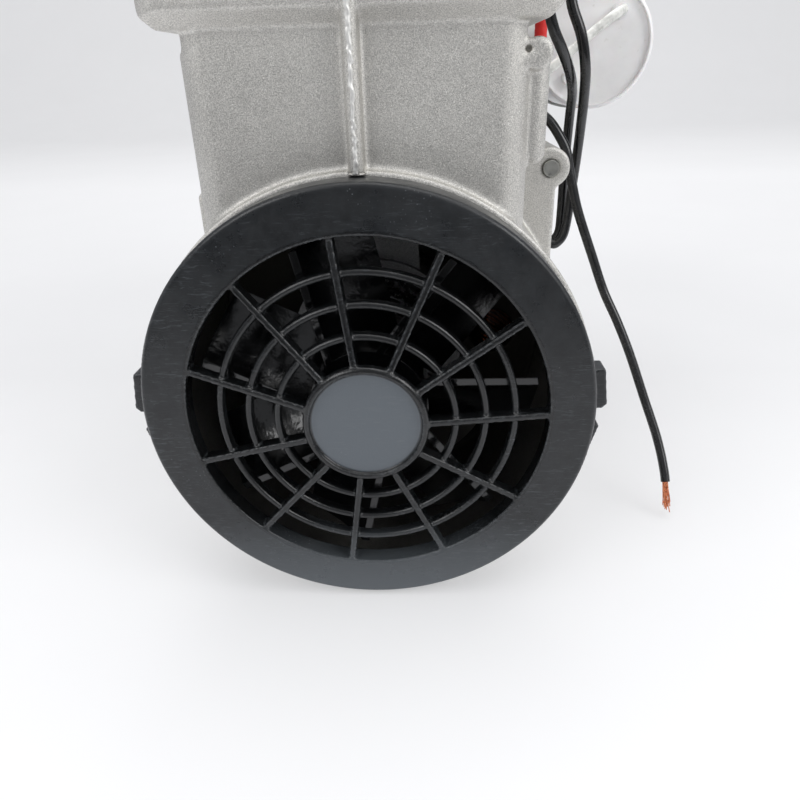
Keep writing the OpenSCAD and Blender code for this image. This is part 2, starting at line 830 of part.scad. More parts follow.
// Fan
module fan_blade() {
    blade_mid = fan_hub_l / 2;
    root = fan_hub_r - 2 * overrun;
    span = fan_r - root;
    translate([root, fan_y + blade_mid, 0]) rotate([blade_pitch, 0, 0]) intersection() {
        translate([0, -blade_camber_r, 0]) rotate([0, quarter_turn, 0]) difference() {
            cylinder(r = blade_camber_r + blade_t / 2, h = span);
            translate([0, 0, -overrun]) cylinder(r = blade_camber_r - blade_t / 2, h = span + 2 * overrun);
        }
        translate([0, -blade_chord / 2, -blade_chord / 2]) cube([span, blade_chord, blade_chord]);
    }
}

module fan() {
    difference() {
        union() {
            rod_y(fan_hub_r, fan_y, fan_y + fan_hub_l);
            intersection() {
                for (k = [0 : blade_count - 1]) rotate([0, k * full_turn / blade_count, 0]) fan_blade();
                rod_y(fan_r, fan_y, fan_y + fan_hub_l);
            }
        }
        rod_y(shaft_end_d / 2, fan_y - overrun, fan_y + fan_hub_l + overrun);
    }
}

module fan_nut() {
    difference() {
        translate([0, fan_y - fan_nut_h, 0]) rotate([-quarter_turn, 0, 0])
            cylinder(r = fan_nut_r, h = fan_nut_h, $fn = 6);
        rod_y(shaft_end_d / 2, fan_y - fan_nut_h - overrun, fan_y + overrun);
    }
}

// Bearing of the shaft
module main_bearing() {
    mid_r = (shaft_seat_d + main_bearing_d) / 4;
    difference() {
        rod_y(main_bearing_d / 2, bearing_y, bearing_y + main_bearing_w);
        rod_y(shaft_seat_d / 2, bearing_y - overrun, bearing_y + main_bearing_w + overrun);
        for (y = [bearing_y, bearing_y + main_bearing_w]) bearing_shield_cut(mid_r, y);
    }
}

// Stator and rotor, along y about the middle
module stator_outline() {
    difference() {
        intersection() {
            square(2 * stator_half, center = true);
            circle(stator_cut_r);
        }
        circle(stator_bore_r);
        for (c = bolt_corners) translate([c[0] * bolt_half, c[1] * bolt_half]) circle(screw_m5_r);
        for (k = [0 : slot_count - 1]) rotate(k * full_turn / slot_count) {
            translate([slot_r0, -slot_w / 2]) square([slot_r1 - slot_r0, slot_w]);
            translate([stator_bore_r - overrun, -slot_mouth / 2])
                square([slot_r0 - stator_bore_r + 2 * overrun, slot_mouth]);
        }
    }
}

module coil_end() {
    turned_y() translate([(coil_r0 + coil_r1) / 2, stack_l / 2 + liner + coil_reach / 2])
        round_rect(coil_r1 - coil_r0, coil_reach, coil_corner);
}

module windings() {
    for (m = [0, 1]) mirror([0, m, 0]) coil_end();
    for (k = [0 : slot_count - 1]) rotate([0, k * full_turn / slot_count, 0])
        translate([slot_r0 + liner, -stack_l / 2 - coil_reach / 2, liner - slot_w / 2])
            cube([slot_r1 - slot_r0 - 2 * liner, stack_l + coil_reach, slot_w - 2 * liner]);
}

module rotor_bars(r, reach) {
    for (k = [0 : bar_count - 1]) rotate([0, k * full_turn / bar_count, 0])
        translate([bar_circle, 0, 0]) rod_y(r, -reach, reach);
}

// Valve plate, reeds and gasket
module valve_plate() {
    difference() {
        translate([0, cylinder_y, plate_z]) linear_extrude(valve_plate_t) difference() {
            round_rect(head_w, flange_l, flange_corner);
            for (sx = [-1, 1], sy = [-1, 1]) translate([sx * head_bolt_x, sy * head_bolt_y]) circle(screw_m6_r);
            for (sx = [-1, 1]) translate([sx * port_x, 0]) circle(port_r);
            for (sx = [-1, 1]) translate([sx * port_x, reed_root]) circle(rivet_r);
        }
        translate([port_x, cylinder_y, plate_z])
            cube([reed_w + 2 * overrun, reed_l + 2 * overrun, 2 * reed_relief], center = true);
    }
}

// Petal with its clamped end at the far side; the suction petal hangs under the plate
module reed_petal(x, z) {
    tip_r = reed_w / 2;
    translate([x, cylinder_y, z]) linear_extrude(reed_t) difference() {
        union() {
            translate([-reed_w / 2, -reed_l / 2 + tip_r]) square([reed_w, reed_l - tip_r]);
            translate([0, -reed_l / 2 + tip_r]) circle(tip_r);
        }
        translate([0, reed_root]) circle(rivet_r + drop_fit);
    }
}

module suction_reed() {
    reed_petal(port_x, plate_z + reed_relief - reed_t - reed_gap);
}

module discharge_reed() {
    reed_petal(-port_x, gasket_z + reed_gap);
}

module reed_rivet_pair() {
    suction_z = plate_z + reed_relief - reed_t - reed_gap - rivet_gap;
    translate([port_x, cylinder_y + reed_root, suction_z]) {
        cylinder(r = rivet_r, h = gasket_z - suction_z);
        translate([0, 0, -rivet_gap]) cylinder(r = rivet_head_r, h = rivet_gap);
    }
    translate([-port_x, cylinder_y + reed_root, plate_z]) {
        cylinder(r = rivet_r, h = valve_plate_t + 2 * reed_gap + reed_t);
        translate([0, 0, valve_plate_t + 2 * reed_gap + reed_t]) cylinder(r = rivet_head_r, h = rivet_head);
    }
}

module head_gasket() {
    translate([0, cylinder_y, gasket_z]) linear_extrude(gasket_t) difference() {
        round_rect(head_w, head_l, head_corner);
        for (sx = [-1, 1]) translate([sx * pocket_x, 0]) round_rect(pocket_w, pocket_l, pocket_corner);
        for (sx = [-1, 1], sy = [-1, 1]) translate([sx * head_bolt_x, sy * head_bolt_y]) circle(screw_m6_r);
    }
}

// Side port of a head: the outlet at the front head, the intake at the rear head
function side_port_r(side) = side == front ? outlet_port_r : intake_port_r;

module at_side_port(side) {
    translate([-side * head_w / 2, side == front ? outlet_y : intake_y, pipe_z])
        rotate([0, -side * quarter_turn, 0]) children();
}

// Cylinder head with fins, two chambers and its side ports
module cylinder_head(side) {
    fin_pitch = (head_w - 2 * head_corner) / (fin_count - 1);
    difference() {
        union() {
            translate([0, cylinder_y, head_z]) linear_extrude(head_body) round_rect(head_w, head_l, head_corner);
            intersection() {
                translate([0, cylinder_y, head_z]) linear_extrude(head_body + fin_h)
                    round_rect(head_w, head_l, head_corner);
                for (k = [0 : fin_count - 1])
                    translate([head_corner - head_w / 2 + k * fin_pitch - fin_t / 2,
                        cylinder_y - head_l / 2, fin_z - overrun])
                        cube([fin_t, head_l, fin_h + overrun]);
            }
            for (s = [-1, 1]) translate([s * pipe_x, cylinder_y + head_l / 2 - overrun, pipe_z])
                rod_y(port_boss_r, 0, port_boss_l);
            at_side_port(side) translate([0, 0, -overrun])
                cylinder(r = side_port_r(side) + port_wall, h = overrun + port_boss_l / 2);
        }
        for (sx = [-1, 1]) translate([sx * pocket_x, cylinder_y, head_z - overrun])
            linear_extrude(pocket_h + overrun)
            round_rect(pocket_w, pocket_l, pocket_corner);
        for (s = [-1, 1]) translate([s * pipe_x, cylinder_y, pipe_z]) rod_y(pipe_r, 0, head_l);
        at_side_port(side) translate([0, 0, -head_w / 4]) cylinder(r = side_port_r(side), h = head_w / 2);
        at_head_screws() translate([0, 0, head_z - overrun])
            cylinder(r = screw_m6_r, h = head_body + 2 * overrun);
        at_head_screws() translate([0, 0, head_screw_seat])
            cylinder(r = head_bolt_boss_r, h = fin_h + head_screw_head);
    }
}

module head_screw_set() {
    at_head_screws() difference() {
        union() {
            translate([0, 0, flange_top - head_bolt_depth + overrun])
                cylinder(r = screw_m6_r, h = head_screw_seat - flange_top + head_bolt_depth - overrun / 2);
            translate([0, 0, head_screw_seat]) cylinder(r = head_screw_head_r, h = head_screw_head);
        }
        translate([0, 0, head_screw_seat + head_screw_head / 2])
            cylinder(r = head_socket_r, h = head_screw_head, $fn = 6);
    }
}

// Bolts through the motor, heads at the rear and threaded ends in the front ears
module motor_bolt() {
    reach = half_length - ear_y;
    rod_y(screw_m5_r, -reach - motor_bolt_tip, reach);
    translate([0, reach, 0]) rotate([-quarter_turn, 0, 0])
        cylinder(r = motor_bolt_head_r, h = motor_bolt_head, $fn = 6);
}

// Pipe between the heads and its nuts, in the world's frame about the middle
function head_face() = half_length - cylinder_y - head_l / 2 - port_boss_l + overrun;

module pipe_pair_place() {
    for (sx = [-1, 1]) translate([sx * pipe_x, 0, axis_height + pipe_z]) children();
}

module pipe() {
    difference() {
        rod_y(pipe_r, -head_face() - port_boss_l, head_face() + port_boss_l);
        rod_y(pipe_bore_r, -head_face() - 2 * port_boss_l, head_face() + 2 * port_boss_l);
    }
}

module pipe_nut_solid() {
    difference() {
        translate([0, head_face() - pipe_nut_l, 0]) rotate([-quarter_turn, 0, 0])
            cylinder(r = pipe_nut_r, h = pipe_nut_l, $fn = 6);
        rod_y(pipe_r, 0, half_length);
    }
}

module outlet() {
    at_end(front) at_side_port(front) translate([0, 0, port_boss_l / 2]) difference() {
        union() {
            translate([0, 0, -port_boss_l]) cylinder(r = outlet_port_r, h = port_boss_l + overrun);
            cylinder(r = outlet_hex_r, h = outlet_hex_l, $fn = 6);
            cylinder(r = outlet_r, h = outlet_len - outlet_bevel);
            translate([0, 0, outlet_len - outlet_bevel])
                cylinder(r1 = outlet_r, r2 = outlet_r - outlet_bevel, h = outlet_bevel);
        }
        translate([0, 0, -head_w]) cylinder(r = outlet_bore_r, h = 2 * head_w);
    }
}

// Intake filter: a ribbed pot on a hollow stem, its slotted cap and the felt between them
module at_filter() {
    at_mirrored_end(rear) at_side_port(rear) translate([0, 0, port_boss_l / 2]) children();
}

module filter_pot() {
    difference() {
        union() {
            translate([0, 0, -port_boss_l]) cylinder(r = intake_port_r, h = port_boss_l + filter_gap + overrun);
            translate([0, 0, filter_gap]) cylinder(r = filter_r, h = filter_l);
            for (k = [0 : filter_rib_count - 1]) rotate(k * full_turn / filter_rib_count)
                translate([filter_r - filter_rib, -filter_rib / 2, filter_gap])
                    cube([2 * filter_rib, filter_rib, filter_l - filter_cap_l]);
        }
        translate([0, 0, filter_gap + filter_wall]) cylinder(r = filter_r - filter_wall, h = filter_l);
        translate([0, 0, -2 * port_boss_l]) cylinder(r = intake_port_r - intake_stem_wall, h = head_w);
    }
}

module filter_lid() {
    translate([0, 0, filter_gap + filter_l]) difference() {
        cylinder(r = filter_cap_r, h = filter_cap_l);
        for (k = [0 : filter_slot_count - 1]) rotate(k * full_turn / filter_slot_count)
            translate([filter_slot_r0, -filter_slot_w / 2, -overrun])
                cube([filter_slot_r1 - filter_slot_r0, filter_slot_w, filter_cap_l + 2 * overrun]);
    }
}

module filter_disc() {
    translate([0, 0, filter_gap + filter_wall])
        cylinder(r = filter_r - filter_wall - felt_gap, h = filter_l - filter_wall - felt_gap);
}

// Capacitor with a dished end and two lead bosses
module capacitor() {
    translate([can_x, can_y, can_z]) {
        difference() {
            turned_y() polygon([
                [0, 0], [can_r - can_edge / 2, 0], [can_r, can_edge / 2], [can_r, capacitor_l - can_edge],
                [can_r - can_edge, capacitor_l], [0, capacitor_l]
            ]);
            rod_y(can_r - can_lip, -overrun, can_dish);
        }
        for (s = [-1, 1]) translate([s * exit_dx, 0, s * exit_dz])
            rod_y(exit_boss_r, -exit_boss, can_dish + can_lip / 2);
    }
}

module band() {
    ear_low = band_screw_z - screw_m4_r - ear_r;
    difference() {
        union() {
            translate([can_x, 0, can_z]) rod_y(can_r + band_t, band_y, band_y + band_w);
            translate([band_ear_x, band_y, ear_low]) cube([can_x - band_ear_x - can_r / 3, band_w, band_t]);
            translate([band_ear_x, band_y, ear_low]) cube([band_t, band_w, flange_top - ear_low]);
        }
        translate([can_x, 0, can_z]) rod_y(can_r, band_y - overrun, band_y + band_w + overrun);
    }
}

// Small bimetal switch on the head's flank
module bimetal_switch() {
    translate([head_w / 2, switch_y, switch_z]) {
        translate([0, -switch_plate_half, -switch_plate_w / 2])
            cube([switch_plate_t, 2 * switch_plate_half, switch_plate_w]);
        rotate([0, quarter_turn, 0]) cylinder(r = switch_r, h = switch_l);
        for (s = [-1, 1]) translate([switch_l, s * tongue_shift - tongue_half_w, -tongue_t / 2])
            cube([tongue_l, 2 * tongue_half_w, tongue_t]);
    }
}

module small_screw_head() {
    rotate([0, quarter_turn, 0]) cylinder(r = small_head_r, h = small_head_h);
}

// Tube swept along a route's own points, square to its run at both ends
function unit(v) = v / norm(v);
function run_dir(p, k) = unit(p[min(k + 1, len(p) - 1)] - p[max(k - 1, 0)]);
function side_of(d) = unit(cross(d, abs(d[0]) < 0.8 ? [1, 0, 0] : [0, 0, 1]));
function carried(p, k) = k == 0 ? side_of(run_dir(p, 0)) :
    let (s = carried(p, k - 1), d = run_dir(p, k)) unit(s - (s * d) * d);
function curve_at(p, k, t) = let (
        a = p[max(k - 1, 0)], b = p[k], c = p[k + 1], e = p[min(k + 2, len(p) - 1)])
    0.5 * (2 * b + t * (c - a) + t * t * (2 * a - 5 * b + 4 * c - e) + t * t * t * (3 * b - a - 3 * c + e));
function smooth(p, steps) = concat(
    [for (k = [0 : len(p) - 2], i = [0 : steps - 1]) curve_at(p, k, i / steps)], [p[len(p) - 1]]);

module swept_tube(route, r, steps = 2, sides = 8) {
    path = smooth(route, steps);
    rings = len(path);
    points = [for (k = [0 : rings - 1]) let (d = run_dir(path, k), s = carried(path, k), u = cross(d, s))
        for (j = [0 : sides - 1]) path[k] + r * (cos(j * full_turn / sides) * s + sin(j * full_turn / sides) * u)];
    walls = [for (k = [0 : rings - 2], j = [0 : sides - 1]) let (n = (j + 1) % sides)
        [k * sides + j, (k + 1) * sides + j, (k + 1) * sides + n, k * sides + n]];
    ends = [[for (j = [0 : sides - 1]) j], [for (j = [sides - 1 : -1 : 0]) (rings - 1) * sides + j]];
    polyhedron(points = points, faces = concat(walls, ends), convexity = 10);
}

// Oblong grommet: its stem fits the hole in the casting and two leads pass it side by side
module grommet_stem(down, up) {
    translate([0, 0, -down]) linear_extrude(down + up)
        round_rect(grommet_w - 2 * grommet_flange, grommet_l - 2 * grommet_flange,
            grommet_corner - grommet_flange / 2);
}

module grommet() {
    linear_extrude(grommet_flange) round_rect(grommet_w, grommet_l, grommet_corner);
    grommet_stem(grommet_grip, grommet_flange);
}

// The nodes
module front_crankcase() { color("silver") at_end(front) crankcase(front); }
module rear_crankcase() { color("silver") at_end(rear) crankcase(rear); }
module front_fan_cover() { color("#3c4044") at_end(front) fan_cover(); }
module rear_fan_cover() { color("#3c4044") at_end(rear) fan_cover(); }
module front_fan() { color("#181818") at_mirrored_end(front) fan(); }
module rear_fan() { color("#181818") at_mirrored_end(rear) fan(); }
module fan_nuts() { color("lightgray") for (side = [front, rear]) at_end(side) fan_nut(); }
module motor_shaft() { color("lightgray") shaft_solid(); }

module rotor_core() {
    color("#5a5a5e") translate([0, 0, axis_height]) difference() {
        rod_y(rotor_r, -stack_l / 2, stack_l / 2);
        rod_y(shaft_mid_d / 2, -stack_l, stack_l);
        rotor_bars(bar_r, stack_l);
    }
}

module rotor_cage() {
    color("gainsboro") translate([0, 0, axis_height]) {
        rotor_bars(bar_r, stack_l / 2 + overrun / 2);
        for (m = [0, 1]) mirror([0, m, 0]) difference() {
            union() {
                rod_y(rotor_r, stack_l / 2, stack_l / 2 + cage_l);
                for (k = [0 : bar_count / 2 - 1]) rotate([0, 2 * k * full_turn / bar_count, 0])
                    translate([cage_inner_r + overrun, stack_l / 2 + overrun, -cage_fin_t / 2])
                        cube([cage_width - 2 * overrun, cage_l + cage_fin_l - overrun, cage_fin_t]);
            }
            rod_y(cage_inner_r, 0, stack_l + cage_l);
        }
    }
}

module stator_core() {
    color("#2c2c2e") translate([0, 0, axis_height]) plate_y(-stack_l / 2, stack_l / 2) stator_outline();
}

module stator_windings() { color("#b0602c") translate([0, 0, axis_height]) windings(); }
module front_main_bearing() { color("lightgray") at_end(front) main_bearing(); }
module rear_main_bearing() { color("lightgray") at_end(rear) main_bearing(); }
module front_eccentric() { color("#8c8c88") at_end(front) eccentric(front); }
module rear_eccentric() { color("#8c8c88") at_end(rear) eccentric(rear); }
module eccentric_set_screws() { color("#303030") for (side = [front, rear]) at_end(side)
    eccentric_set_screw(side); }
module front_connecting_rod() { color("silver") at_big_end(front) connecting_rod(); }
module rear_connecting_rod() { color("silver") at_big_end(rear) connecting_rod(); }
module front_rod_bearing() { color("lightgray") at_big_end(front) rod_bearing(); }
module rear_rod_bearing() { color("lightgray") at_big_end(rear) rod_bearing(); }
module front_piston_cup() { color("#7a5a3c") at_big_end(front) piston_cup(); }
module rear_piston_cup() { color("#7a5a3c") at_big_end(rear) piston_cup(); }
module front_cup_retainer() { color("silver") at_big_end(front) cup_retainer(); }
module rear_cup_retainer() { color("silver") at_big_end(rear) cup_retainer(); }
module front_retainer_screw() { color("#303030") at_big_end(front) retainer_screw(); }
module rear_retainer_screw() { color("#303030") at_big_end(rear) retainer_screw(); }
module front_cylinder_sleeve() { color("gainsboro") at_end(front) cylinder_sleeve(); }
module rear_cylinder_sleeve() { color("gainsboro") at_end(rear) cylinder_sleeve(); }
module sleeve_seals() { color("#8c2c20") for (side = [front, rear]) at_end(side) sleeve_seal(); }
module front_valve_plate() { color("silver") at_end(front) valve_plate(); }
module rear_valve_plate() { color("silver") at_mirrored_end(rear) valve_plate(); }
module front_suction_reed() { color("lightsteelblue") at_end(front) suction_reed(); }
module rear_suction_reed() { color("lightsteelblue") at_mirrored_end(rear) suction_reed(); }
module front_discharge_reed() { color("lightsteelblue") at_end(front) discharge_reed(); }
module rear_discharge_reed() { color("lightsteelblue") at_mirrored_end(rear) discharge_reed(); }
module reed_rivets() { color("silver") for (side = [front, rear]) at_mirrored_end(side) reed_rivet_pair(); }
module front_head_gasket() { color("#4c4c48") at_end(front) head_gasket(); }
module rear_head_gasket() { color("#4c4c48") at_mirrored_end(rear) head_gasket(); }
module front_cylinder_head() { color("silver") at_end(front) cylinder_head(front); }
module rear_cylinder_head() { color("silver") at_mirrored_end(rear) cylinder_head(rear); }
module head_screws() { color("#303030") for (side = [front, rear]) at_end(side) head_screw_set(); }

module motor_bolts() {
    color("lightgray") translate([0, 0, axis_height])
        for (c = bolt_corners) translate([c[0] * bolt_half, 0, c[1] * bolt_half]) motor_bolt();
}

module transfer_pipes() { color("goldenrod") pipe_pair_place() pipe(); }

module pipe_nuts() {
    color("goldenrod") pipe_pair_place() for (m = [0, 1]) mirror([0, m, 0]) pipe_nut_solid();
}

module outlet_fitting() { color("goldenrod") outlet(); }
module intake_filter_body() { color("#202020") at_filter() filter_pot(); }
module intake_filter_cap() { color("#202020") at_filter() filter_lid(); }
module intake_filter_felt() { color("beige") at_filter() filter_disc(); }
module run_capacitor() { color("white") at_end(front) capacitor(); }
module capacitor_band() { color("lightgray") at_end(front) band(); }
module capacitor_lead() { color("white") at_end(front) swept_tube(capacitor_route, lead_r); }

module splice_sleeve() { color("red") at_end(front) swept_tube(splice_route, lead_r + splice_wall); }

module link_lead() { color("#181818") at_end(front) swept_tube(link_route, lead_r); }
module thermal_switch() { color("#202020") at_end(front) bimetal_switch(); }

module bracket_screws() {
    color("lightgray") at_end(front) {
        for (s = [-1, 1])
            translate([head_w / 2 + switch_plate_t,
                switch_y + s * (switch_plate_half - switch_screw_inset), switch_z])
                small_screw_head();
        translate([band_screw_x, band_y + band_w / 2, band_screw_z]) small_screw_head();
    }
}

module lead_a() { color("#181818") at_end(front) swept_tube(lead_a_route, lead_r); }
module lead_b() { color("#181818") at_end(front) swept_tube(lead_b_route, lead_r); }
module free_lead() { color("#181818") at_end(front) swept_tube(free_route, lead_r); }

module lead_grommets() {
    color("#181818") at_end(front) {
        translate(side_grommet) rotate([0, quarter_turn, 0]) grommet();
        translate(top_grommet) grommet();
    }
}

front_crankcase();
rear_crankcase();
front_fan_cover();
rear_fan_cover();
front_fan();
rear_fan();
fan_nuts();
motor_shaft();
rotor_core();
rotor_cage();
stator_core();
stator_windings();
front_main_bearing();
rear_main_bearing();
front_eccentric();
rear_eccentric();
eccentric_set_screws();
front_connecting_rod();
rear_connecting_rod();
front_rod_bearing();
rear_rod_bearing();
front_piston_cup();
rear_piston_cup();
front_cup_retainer();
rear_cup_retainer();
front_retainer_screw();
rear_retainer_screw();
front_cylinder_sleeve();
rear_cylinder_sleeve();
sleeve_seals();
front_valve_plate();
rear_valve_plate();
front_suction_reed();
rear_suction_reed();
front_discharge_reed();
rear_discharge_reed();
reed_rivets();
front_head_gasket();
rear_head_gasket();
front_cylinder_head();
rear_cylinder_head();
head_screws();
motor_bolts();
transfer_pipes();
pipe_nuts();
outlet_fitting();
intake_filter_body();
intake_filter_cap();
intake_filter_felt();
run_capacitor();
capacitor_band();
capacitor_lead();
splice_sleeve();
link_lead();
thermal_switch();
bracket_screws();
lead_a();
lead_b();
free_lead();
lead_grommets();
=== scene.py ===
import bpy
import json
import math
import random
from mathutils import Matrix, Vector, noise


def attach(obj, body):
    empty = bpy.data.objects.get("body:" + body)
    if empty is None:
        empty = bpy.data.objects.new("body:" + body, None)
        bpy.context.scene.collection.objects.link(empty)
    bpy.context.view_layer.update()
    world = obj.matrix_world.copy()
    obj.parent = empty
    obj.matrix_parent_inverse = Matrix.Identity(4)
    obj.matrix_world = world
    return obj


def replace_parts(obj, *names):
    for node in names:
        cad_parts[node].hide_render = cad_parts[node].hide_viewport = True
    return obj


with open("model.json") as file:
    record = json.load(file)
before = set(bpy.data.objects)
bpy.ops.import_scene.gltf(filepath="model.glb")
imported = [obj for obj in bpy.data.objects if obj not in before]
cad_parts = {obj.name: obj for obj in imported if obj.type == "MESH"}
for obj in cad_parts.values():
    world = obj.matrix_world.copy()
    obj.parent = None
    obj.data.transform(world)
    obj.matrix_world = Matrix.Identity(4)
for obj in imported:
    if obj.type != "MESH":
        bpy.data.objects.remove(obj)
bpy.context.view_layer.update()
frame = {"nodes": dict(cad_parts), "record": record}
nodes = frame["nodes"]
scene = bpy.context.scene

MM = 0.001
FRONT_Y = -122.5
AXIS_Z = 64


def at_front(p):
    """A point of the front crankcase's own frame, in millimetres, as a place in the part's frame."""
    return Vector((p[0], p[1] + FRONT_Y, p[2] + AXIS_Z)) * MM


# Camera, solved from the ellipses of the cover
camera_data = bpy.data.cameras.new("view")
camera_data.lens = 29.25
camera_data.sensor_width = 36
camera_data.clip_start = 0.01
camera_data.clip_end = 50
camera = bpy.data.objects.new("view", camera_data)
scene.collection.objects.link(camera)
eye = Vector((0.0170, -0.2796, 0.1486))
right = Vector((0.99899, 0.03519, -0.02790)).normalized()
ahead = Vector((-0.04397, 0.89282, -0.44826)).normalized()
up = right.cross(ahead).normalized()
camera.matrix_world = Matrix((
    (right.x, up.x, -ahead.x, eye.x),
    (right.y, up.y, -ahead.y, eye.y),
    (right.z, up.z, -ahead.z, eye.z),
    (0, 0, 0, 1)))
scene.camera = camera


# Routes of the leads, as the solids have them
LEAD_A = [
    (60, 87, 28), (61.8, 87, 28), (63.6, 87, 28), (65.6, 87.4, 31), (66, 88, 38), (66, 88.4, 50),
    (66, 87.6, 62), (65.6, 84.5, 71), (64.6, 78.5, 77.4), (61.8, 70, 83), (57.6, 62, 89),
    (53.8, 58.8, 95), (51.8, 57.8, 101), (52.6, 57.8, 105.4), (55.4, 57.8, 109), (57.7, 57.8, 111.4),
    (58.4, 57.8, 114), (58.4, 57.8, 117), (58.4, 57.8, 120)]
LEAD_B = [
    (60, 81, 28), (61.8, 81, 28), (63.6, 81, 28), (66.2, 81.6, 31), (67.6, 83.2, 38), (68.4, 84, 48),
    (68.7, 82.6, 57), (68.3, 78.8, 66), (67.4, 73.5, 75), (65.8, 67.4, 84), (63.4, 65.4, 93),
    (60, 65.8, 101), (59, 66.2, 107), (58.4, 66.2, 112.6), (58.4, 66.2, 116.4), (58.4, 66.2, 120)]
FREE = [
    (46.6, 80, 60), (46.6, 80, 62), (46.6, 80, 64.2), (47.3, 80, 68), (50, 80, 71.4),
    (54.2, 79.8, 71.8), (58.2, 79.2, 69), (61.6, 78.4, 64.4), (64, 77.6, 60), (65.3, 77, 54.8),
    (67, 76.2, 48), (69.6, 75.4, 39.5), (75.6, 74, 24.5), (80.4, 72, 12.5), (85.4, 68.4, 2.4),
    (90.4, 64.8, -9), (96, 60, -24), (101, 54, -38), (103.4, 48, -49), (103.8, 43.5, -57),
    (103.8, 41.5, -60.5), (103.8, 40.8, -62)]
CAPACITOR = [
    (86.5, 113.8, 102.5), (86.5, 112.2, 102.5), (86.5, 110.6, 102.5), (83, 107, 101), (76, 103, 96.5),
    (69, 99.5, 91.5), (63, 97, 87), (58.6, 95.6, 84.2), (56.2, 95.2, 84.6), (55.8, 95.2, 86.8),
    (55.8, 95.2, 88.9), (55.8, 95.2, 91)]
SPLICE = [(55.8, 95.2, 91), (55.8, 95.2, 97), (55.8, 95.2, 103)]
LINK = [
    (55.8, 95.2, 103), (55.8, 95.2, 104.8), (55.8, 95.2, 106.6), (54.8, 96, 109.2), (53, 98, 109.8),
    (51.2, 100.5, 107), (50.2, 102, 101), (49, 101.5, 90), (47.4, 99, 78), (46.6, 94, 70.8),
    (46.6, 89.8, 68), (46.6, 88, 65), (46.6, 88, 62.5), (46.6, 88, 60)]
LEAD_R = 1.6
ROUTE_STEPS = 6


def smooth_route(points):
    """Points of the route in metres, with ROUTE_STEPS between each pair, on the solids' own curve."""
    p = [at_front(q) for q in points]
    out = []
    for k in range(len(p) - 1):
        a, b, c, e = p[max(k - 1, 0)], p[k], p[k + 1], p[min(k + 2, len(p) - 1)]
        for i in range(ROUTE_STEPS):
            t = i / ROUTE_STEPS
            out.append(0.5 * (2 * b + t * (c - a) + t * t * (2 * a - 5 * b + 4 * c - e)
                              + t ** 3 * (3 * b - a - 3 * c + e)))
    out.append(p[-1])
    return out


def route_length(points):
    return sum((b - a).length for a, b in zip(points, points[1:]))


# Materials
def lin(r, g, b):
    """A screen colour of 0 to 255 as the shader's own."""
    return tuple(((v / 255 + 0.055) / 1.055) ** 2.4 if v > 10 else v / 255 / 12.92 for v in (r, g, b))


# Distances from the shaft's axis, in metres, between which a look changes
GRILLE_EDGE = (0.0515, 0.0505)
DISC_EDGE = (0.0151, 0.0146)
CASTING_BORE = (0.0576, 0.0566)
BEVEL_SAMPLES = 4


